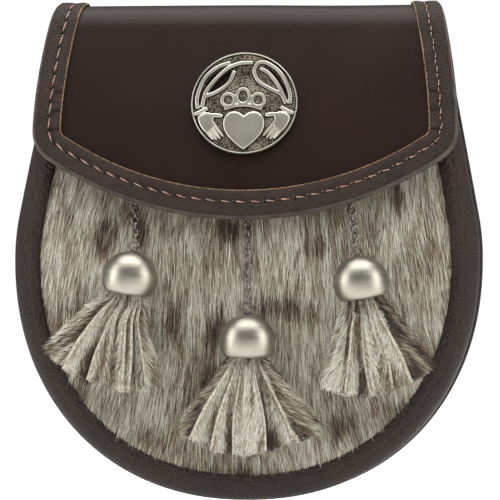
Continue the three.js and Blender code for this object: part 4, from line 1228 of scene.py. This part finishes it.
capShape = {"radius": 11.15, "height": 17.6, "widest": 10.6, "mouth": 8, "wall": 0.8, "offHide": 1}
ringShape = {"radius": 1.9, "wire": 0.4}
linkShape = {"length": 4.3, "width": 3.4, "wire": 0.62, "pitch": 2.75}
tasselShape = {"length": 41, "neck": 6.2, "depth": 8, "thickness": 0.65,
               "hairPerCm2": 480, "hairLength": 5.6, "hairWidth": 0.25, "spread": 0.06, "toneSpread": 0.3}
drops = [  # strips from left to right: place across the fan, half width, roll, tone of the hair, forwards
    {"side": "left", "x": -43.6, "drop": 101.6, "tilt": -9, "fanMiddle": -15.8, "fanHalf": 24.9,
     "anchor": (-44.8, 72.5), "seed": 3,
     "strips": [(-0.86, 4.4, 24, 0.62, -0.4), (-0.42, 6.2, -18, 0.8, 0.4), (0.03, 5, -26, 0.8, 1),
                (0.3, 4, 48, 0.9, 1.6), (0.52, 4, 50, 0.85, 1), (0.74, 4, 46, 0.9, 0.6),
                (0.93, 3.4, -20, 0.7, 0)]},
    {"side": "middle", "x": 2.4, "drop": 126.8, "tilt": 0, "fanMiddle": 0, "fanHalf": 36,
     "anchor": (1.6, 79), "seed": 5,
     "strips": [(-0.86, 4.4, 30, 0.42, -1), (-0.66, 5, -32, 0.88, 0), (-0.38, 4.8, -34, 0.88, 0.5),
                (-0.09, 4.6, -28, 0.85, 0.6), (0.18, 4.6, 9, 0.95, 2.4), (0.5, 6, 28, 0.85, 0.8),
                (0.82, 5.4, -32, 0.5, -0.3)]},
    {"side": "right", "x": 46.1, "drop": 103.4, "tilt": 10, "fanMiddle": 9.9, "fanHalf": 24.2,
     "anchor": (42.4, 73), "seed": 8,
     "strips": [(-0.84, 4.8, 22, 0.85, 0), (-0.68, 4, 70, 0.6, 1), (-0.44, 3.8, -36, 0.88, 0.5),
                (-0.24, 3.4, 34, 0.55, 0.3), (-0.03, 4, -10, 0.92, 1.2), (0.17, 4.4, 20, 0.7, 0.8),
                (0.38, 5.8, 24, 0.9, 1.6), (0.82, 6, -26, 0.35, -0.5)]},
]


def capProfile():
    points = []
    for turn in np.linspace(0, np.pi / 2, 22):
        points.append((max(capShape["radius"] * math.sin(turn), 0.02),
                       -capShape["widest"] + capShape["widest"] * math.cos(turn)))
    curl = capShape["radius"] - capShape["mouth"]
    low = capShape["height"] - capShape["widest"]
    for turn in np.linspace(0, np.pi / 2 * 0.93, 14)[1:]:
        points.append((capShape["mouth"] + curl * math.cos(turn), -capShape["widest"] - low * math.sin(turn)))
    lip = points[-1][0]
    points += [(lip - 0.25, -capShape["height"]), (lip - 0.6, -capShape["height"] + 0.05)]
    inside = [(max(r - capShape["wall"], 0.02), z * 0.96 - 0.4) for r, z in points[:-2]]
    return points + inside[::-1]


def tilted(points, angle):  # turns about the y axis, so that the lower end swings towards +x
    c, s = math.cos(rad(angle)), math.sin(rad(angle))
    x, y, z = np.moveaxis(np.asarray(points, float), -1, 0)
    return np.stack([c * x - s * z, y, s * x + c * z], axis=-1)


def capOrigin(drop):
    y = hideY(np.array(drop["x"]), np.array(drop["drop"] + capShape["widest"])) - capShape["offHide"]
    return at(drop["x"], float(y) - capShape["radius"], drop["drop"])


def capPiece(drop):
    profile = capProfile()
    sides = 72
    origin = capOrigin(drop)
    piece = lathed(f"bell_cap_{drop['side']}", profile, sides,
                   lambda rings: tilted(rings, drop["tilt"]) + origin)
    around = np.tile(np.abs(np.linspace(-1, 1, sides)), len(profile))
    length = pathLength(np.asarray(profile))
    addUv(piece, "turnUv", around, np.repeat(length, sides))
    finishPiece(piece, nickelFinish, "nickel", f"cap_{drop['side']}")


def ringPiece(drop):
    turn = 2 * np.pi * np.arange(40) / 40
    small = 2 * np.pi * np.arange(12) / 12
    radius, wire = ringShape["radius"], ringShape["wire"]
    a, b = np.meshgrid(turn, small, indexing="ij")
    reach = radius + wire * np.cos(b)
    points = np.stack([reach * np.cos(a), wire * np.sin(b), reach * np.sin(a)], axis=-1)
    points = points + capOrigin(drop) + [0, 0, radius + wire + gap - 0.6]
    points = np.concatenate([points, points[:1]])
    piece = addMesh(f"jump_ring_{drop['side']}", points, gridFaces(41, 12, wrap=True))
    finishPiece(piece, chainFinish, "chain_metal", f"cap_ring_{drop['side']}")


def linkPiece():  # one oval link of round wire, lying in the xy plane along x
    turn = 2 * np.pi * np.arange(20) / 20
    straight = (linkShape["length"] - linkShape["width"]) / 2
    radius = (linkShape["width"] - linkShape["wire"]) / 2
    line = np.stack([radius * np.cos(turn) + straight * np.sign(np.cos(turn)) * (np.abs(np.cos(turn)) > 1e-6),
                     radius * np.sin(turn), 0 * turn], axis=1)
    normal = np.stack([np.cos(turn), np.sin(turn), 0 * turn], axis=1)
    small = 2 * np.pi * np.arange(8) / 8
    wire = linkShape["wire"] / 2
    rings = [line + wire * (math.cos(b) * normal + math.sin(b) * np.array([0, 0, 1])) for b in small]
    grid = np.stack(rings, axis=1)
    grid = np.concatenate([grid, grid[:1]])
    return addMesh("link", grid, gridFaces(21, 8, wrap=True))


def chainPiece(drop):
    origin = capOrigin(drop)
    anchorX, anchorDrop = drop["anchor"]
    start = anchorDrop + 3 + gap + 0.4
    end = drop["drop"] - 2 * (ringShape["radius"] + ringShape["wire"]) + 1.6
    onHide = float(hideY(np.array(anchorX), np.array(start))) - gap - 2.4
    stops = [(0, 0, 0), (0.2, 0.1, 0.25), (0.7, 0.6, 0.65), (1, 1, 1)]
    line = np.array([[mix(anchorX, drop["x"], a), mix(onHide, origin[1], o), topHeight - mix(start, end, d)]
                     for a, o, d in stops])
    line = spline(line, 60)
    ups = np.tile([0.3, -1, 0], (len(line), 1))
    settings = {"pitch": linkShape["pitch"], "turn": 90, "uneven": 9, "seed": drop["seed"]}
    piece = pathPieces(f"link_chain_{drop['side']}", line[::-1], ups, link, settings, chainFinish,
                       "chain_metal")
    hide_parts(f"chain_{drop['side']}")


def tasselStrips(drop):
    random = np.random.default_rng(drop["seed"])
    origin = capOrigin(drop)
    mouth = origin + tilted(np.array([0, 0, -capShape["height"]]), drop["tilt"])
    fan = rad(drop["fanHalf"])
    reach = tasselShape["neck"] / math.tan(fan)
    apex = mouth + np.array([-reach * math.sin(rad(drop["tilt"])), 0, reach * math.cos(rad(drop["tilt"]))])
    strips, furs = [], []
    for layout in drop["strips"]:
        strips.append(stripPiece(drop, apex, reach, fan, layout, 1.0, random, furs))
    # the back layer of strips, set behind the front ones with dark hair: painted shade in the gaps between
    # the front strips
    for place in np.linspace(-0.66, 0.7, 5):
        roll = random.uniform(15, 30) * (1 if random.random() < 0.5 else -1)
        layout = (place, 5.0, roll, random.uniform(0.1, 0.28), 0)
        strips.append(stripPiece(drop, apex, reach, fan, layout, -0.6, random, furs))
    body = joinPieces(f"tassel_strips_{drop['side']}", strips)
    finishPiece(body, skinFinish, "tassel_hide", f"tassel_{drop['side']}")
    hair = joinPieces(f"tassel_hair_{drop['side']}", furs)
    finishPiece(hair, None, "hair")


def stripPiece(drop, apex, reach, fan, layout, layer, random, furs):
    place, halfWidth, rollAngle, base, forwards = layout
    front = layer > 0
    length = tasselShape["length"] * (random.uniform(0.9, 0.95) if front else random.uniform(0.8, 0.86))
    r = np.linspace(reach - 2, reach + length, 26)
    spread = smooth(r, reach - 1, reach + 12)
    middle = np.radians(mix(drop["tilt"], drop["fanMiddle"], spread))
    angle = middle + fan * place + random.uniform(-0.04, 0.04) * ((r - reach) / length) ** 2
    depth = mix(tasselShape["neck"] * 0.45, tasselShape["depth"] * 0.5, spread)
    out = layer * math.sqrt(1 - min(place ** 2, 0.95)) * depth + forwards * spread
    centre = np.stack([apex[0] + r * np.sin(angle), apex[1] - out, apex[2] - r * np.cos(angle)], axis=1)
    along = unit(np.gradient(centre, axis=0))
    across = np.stack([np.cos(angle), 0 * angle, np.sin(angle)], axis=1)
    roll = rad(rollAngle) * smooth(r, reach - 1, reach + 12)[:, None]
    side = np.cos(roll) * across + np.sin(roll) * np.array([0, -1.0, 0])
    face = unit(np.cross(along, side))
    face = np.where(face[:, 1:2] > 0, -face, face)
    half = mix(1.6, halfWidth, smooth(r, reach, reach + 30))
    v = np.linspace(-1, 1, 11)
    cup = random.uniform(-0.8, 0.8)
    notch = random.uniform(-1.0, 1.0)
    ragged = 0.25 * np.sin(9 * v + 20 * place)
    grid = (centre[:, None] + side[:, None] * (half[:, None] * v)[..., None]
            + face[:, None] * (cup * (v ** 2 - 0.5) * spread[:, None])[..., None])
    low = smooth(r, reach + length - 8, reach + length)
    grid = grid + along[:, None] * ((notch * v + ragged) * low[:, None])[..., None]
    thick = tasselShape["thickness"] / 2
    strip = thickSheet("strip", grid + face[:, None] * thick, grid - face[:, None] * thick)
    near = 1 if rollAngle > 0 else -1
    columns = np.sort(near * np.linspace(-1, 0.86, 9))  # the strip's front edge is left bare, to show its cut
    skin = [np.stack([np.interp(columns, v, row[:, axis]) for row in grid]) for axis in range(3)]
    skin = np.stack(skin, axis=-1)
    skin = skin + face[:, None] * thick
    share = np.linspace(0, 1, 26)[:, None] * np.ones(len(columns))
    fringed = front and abs(place) > 0.8  # the outermost strips let their hair hang over the side
    lean = -near * ((0.55 if fringed else 0.18) + 0.3 * share)
    flow = unit(along[:, None] + side[:, None] * lean[..., None])
    streak = np.array([noise.noise((a * 1.5 + 11 * place, b * 1.6, drop["seed"])) for a, b in
                       zip((columns + 0 * share).ravel() + 1.2 * near * share.ravel(), share.ravel())])
    streak = smooth(streak.reshape(share.shape), -0.12, 0.3)
    atEdge = smooth(columns * -near, 0.1, 1) * np.ones(share.shape)
    shaded = smooth(columns * -near, -0.3, 0.8) * (abs(rollAngle) > 15) * (not fringed)
    tone = clamp(base + 0.14 - 0.55 * streak - 0.5 * shaded, 0.04, 0.98)
    size = mix(0.8, 1.0, share) * (1 - 0.72 * smooth(share, 0.86, 1))
    size = size * (1.1 if fringed else 0.7 + 0.4 * atEdge)
    fields = {"flow": flow, "tone": tone, "lift": 0.08 + 0.1 * atEdge, "size": size,
              "thickness": 1.0 + 0 * share}
    furs.append(growHair("fur", skin, fields, tasselShape, int(random.integers(1, 900))))
    return strip


# ---- belt loops and the stitching of the back

loopShape = {"x": 36, "width": 24, "height": 54, "thickness": 2.5, "standOff": 6, "foot": 8, "round": 0.6}


def beltLoop(side, x):
    half, foot = loopShape["height"] / 2, loopShape["foot"]
    thick, off = loopShape["thickness"], loopShape["standOff"]
    line = spline([(half, 0), (half - foot * 0.5, 0), (half - foot, 0), (half - foot - 2.2, off * 0.5),
                   (half - foot - 5, off), (half * 0.3, off), (0, off), (-half * 0.3, off),
                   (-half + foot + 5, off), (-half + foot + 2.2, off * 0.5), (-half + foot, 0),
                   (-half + foot * 0.5, 0), (-half, 0)], 90)
    line[:, 1] = clamp(line[:, 1], 0, off)
    tangent = unit(np.gradient(line, axis=0))
    normal = np.stack([tangent[:, 1], -tangent[:, 0]], axis=1)
    across = np.linspace(-1, 1, 15) * loopShape["width"] / 2

    def face(height):
        place = line + normal * height
        return np.stack(np.broadcast_arrays(x + across, place[:, 1:] + gap, place[:, :1]), axis=-1)

    piece = thickSheet(f"loop_strap_{side}", face(thick), face(0.0))
    bevel = piece.modifiers.new("edge", "BEVEL")
    bevel.width = loopShape["round"] * mm
    bevel.segments = 3
    bevel.limit_method = "ANGLE"
    bevel.angle_limit = rad(40)
    finishPiece(piece, smoothLeather, "body_leather", f"belt_loop_{side}")
    inset = loopShape["width"] / 2 - 2.5
    thread = {"pitch": 5, "uneven": 2, "seed": 6}
    for end, z in (("upper", half - 3.2), ("lower", -half + 3.2)):
        row = np.array([[x + t, gap + thick + threadLift, z] for t in np.linspace(-inset, inset, 24)])
        ups = np.tile([0.0, 1, 0], (len(row), 1))
        pathPieces(f"loop_stitches_{side}_{end}", row, ups, stitch, thread, threadFinish, "thread")


def backStitches():
    path = bodyPath(backShape["seamInset"], 400)
    points = at(path[:, 0], threadLift, path[:, 1])
    ups = np.tile([0.0, 1, 0], (len(points), 1))
    thread = {"pitch": 6, "slant": 4, "uneven": 2, "seed": 9}
    pathPieces("back_seam_stitches", points, ups, stitch, thread, threadFinish, "thread")
    width = flapHalfWidth(np.array(0.0)) - 12
    x = np.linspace(-width, width, 120)
    row = flapPoint(x, np.full(len(x), 4.5), flapShape["thickness"] / 2 + threadLift)
    pathPieces("tail_stitches", row, ups[:len(x)], stitch, thread, threadFinish, "thread")


def hiddenHardware():
    anchors = [f"chain_anchor_{drop['side']}" for drop in drops]
    for node in ("concho_screw", "flap_snap", *anchors):
        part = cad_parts[node]
        part.data.materials.clear()
        part.data.materials.append(hardwareFinish)


# ---- studio

# Lengths here are metres, except the sensor's millimetres. shiftX is a share of the frame's width.
studio = {"distance": 1.5, "azimuth": 4.5, "viewWidth": 0.2057, "sensor": 36, "shiftX": 0.004,
          "lookY": -0.020, "lookUp": 0.0004, "floorGap": 0.05, "floorHalf": 3, "world": 0.3,
          "lampDistance": 0.8, "lampAim": -0.04}
lamps = [  # azimuth, elevation, width, height and watts
    ("overhead softbox", 0, 54, 0.9, 0.6, 5),
    ("top softbox", 0, 90, 1.0, 0.9, 9.5),
    ("left softbox", -66, 6, 0.4, 1.1, 4.4),
    ("right softbox", 70, 6, 0.4, 1.1, 4.4),
]


def addCamera():
    low, high = cadBounds
    target = Vector((0, studio["lookY"], (low.z + high.z) / 2 + studio["lookUp"]))
    turn = rad(studio["azimuth"])
    data = bpy.data.cameras.new("camera")
    camera = bpy.data.objects.new("camera", data)
    bpy.context.scene.collection.objects.link(camera)
    camera.location = target + studio["distance"] * Vector((math.sin(turn), -math.cos(turn), 0))
    camera.rotation_euler = (math.pi / 2, 0, turn)
    data.sensor_width = studio["sensor"]
    data.lens = studio["sensor"] * studio["distance"] / studio["viewWidth"]
    data.shift_x = studio["shiftX"]
    bpy.context.scene.camera = camera


def areaLight(name, azimuth, elevation, width, height, power):
    data = bpy.data.lights.new(name, "AREA")
    data.shape = "RECTANGLE"
    data.size, data.size_y, data.energy = width, height, power
    lamp = bpy.data.objects.new(name, data)
    bpy.context.scene.collection.objects.link(lamp)
    a, e = rad(azimuth), rad(elevation)
    away = Vector((math.sin(a) * math.cos(e), -math.cos(a) * math.cos(e), math.sin(e)))
    lamp.location = Vector((0, 0, studio["lampAim"])) + away * studio["lampDistance"]
    lamp.rotation_mode = "QUATERNION"
    lamp.rotation_quaternion = away.to_track_quat("Z", "Y")
    return lamp


def addStudio():
    world = bpy.data.worlds.new("studio")
    bpy.context.scene.world = world
    world.use_nodes = True
    tree = world.node_tree
    tree.nodes.clear()
    seen = addNode(tree, "ShaderNodeLightPath").outputs["Is Camera Ray"]
    soft = addNode(tree, "ShaderNodeBackground", {"Color": linear("#F4F5F7"), "Strength": studio["world"]})
    white = addNode(tree, "ShaderNodeBackground", {"Color": linear("#FFFFFF"), "Strength": 1.05})
    both = addNode(tree, "ShaderNodeMixShader", {0: seen, 1: soft, 2: white})
    addNode(tree, "ShaderNodeOutputWorld", {0: both})
    for name, *place in lamps:
        lamp = areaLight(name, *place)
        lamp.visible_glossy = name != "overhead softbox"  # that one would put a hot spot on the metal
    low = cadBounds[0]
    half = studio["floorHalf"] / mm
    corners = [(-half, -half), (half, -half), (half, half), (-half, half)]
    floor = addMesh("floor", [(x, y, (low.z - studio["floorGap"]) / mm) for x, y in corners], [(0, 1, 2, 3)],
                    towards=(0, 0, 1))
    # White paper, lit until it burns out as the background does: to the camera it glows.
    material, tree, shader = newMaterial("white paper floor", {"Roughness": 0.9})
    place = addNode(tree, "ShaderNodeTexCoord").outputs["Object"]
    fibre = addNode(tree, "ShaderNodeTexNoise", {"Vector": place, "Scale": 30.0})
    tone = addNode(tree, "ShaderNodeValToRGB", {"Fac": fibre}, [(0.3, "#F6F6F5"), (0.7, "#FAFAFA")])
    seen = addNode(tree, "ShaderNodeLightPath").outputs["Is Camera Ray"]
    connect(tree, shader, {"Base Color": tone, "Emission Strength": seen})
    floor.data.materials.append(material)
    bpy.context.scene.view_settings.view_transform = "Standard"


addCamera()
addStudio()
print("studio ready")

blade = hairBlade()
stitch = stitchShape()
needle = holeShape()
link = linkPiece()

backPanel()
gussetBand()
hidePanel()
print("body ready")
flapLeather()
flapBinding()
bindingCutEdge()
flapStitches()
print("flap ready")
badgePiece()
print("badge ready")
for drop in drops:
    capPiece(drop)
    ringPiece(drop)
    chainPiece(drop)
print("caps and chains ready")
panelHair()
print("hide hair ready")
for drop in drops:
    tasselStrips(drop)
print("tassels ready")
for side, x in (("left", -loopShape["x"]), ("right", loopShape["x"])):
    beltLoop(side, x)
backStitches()
hiddenHardware()
for piece in (blade, stitch, needle, link):
    discard(piece)
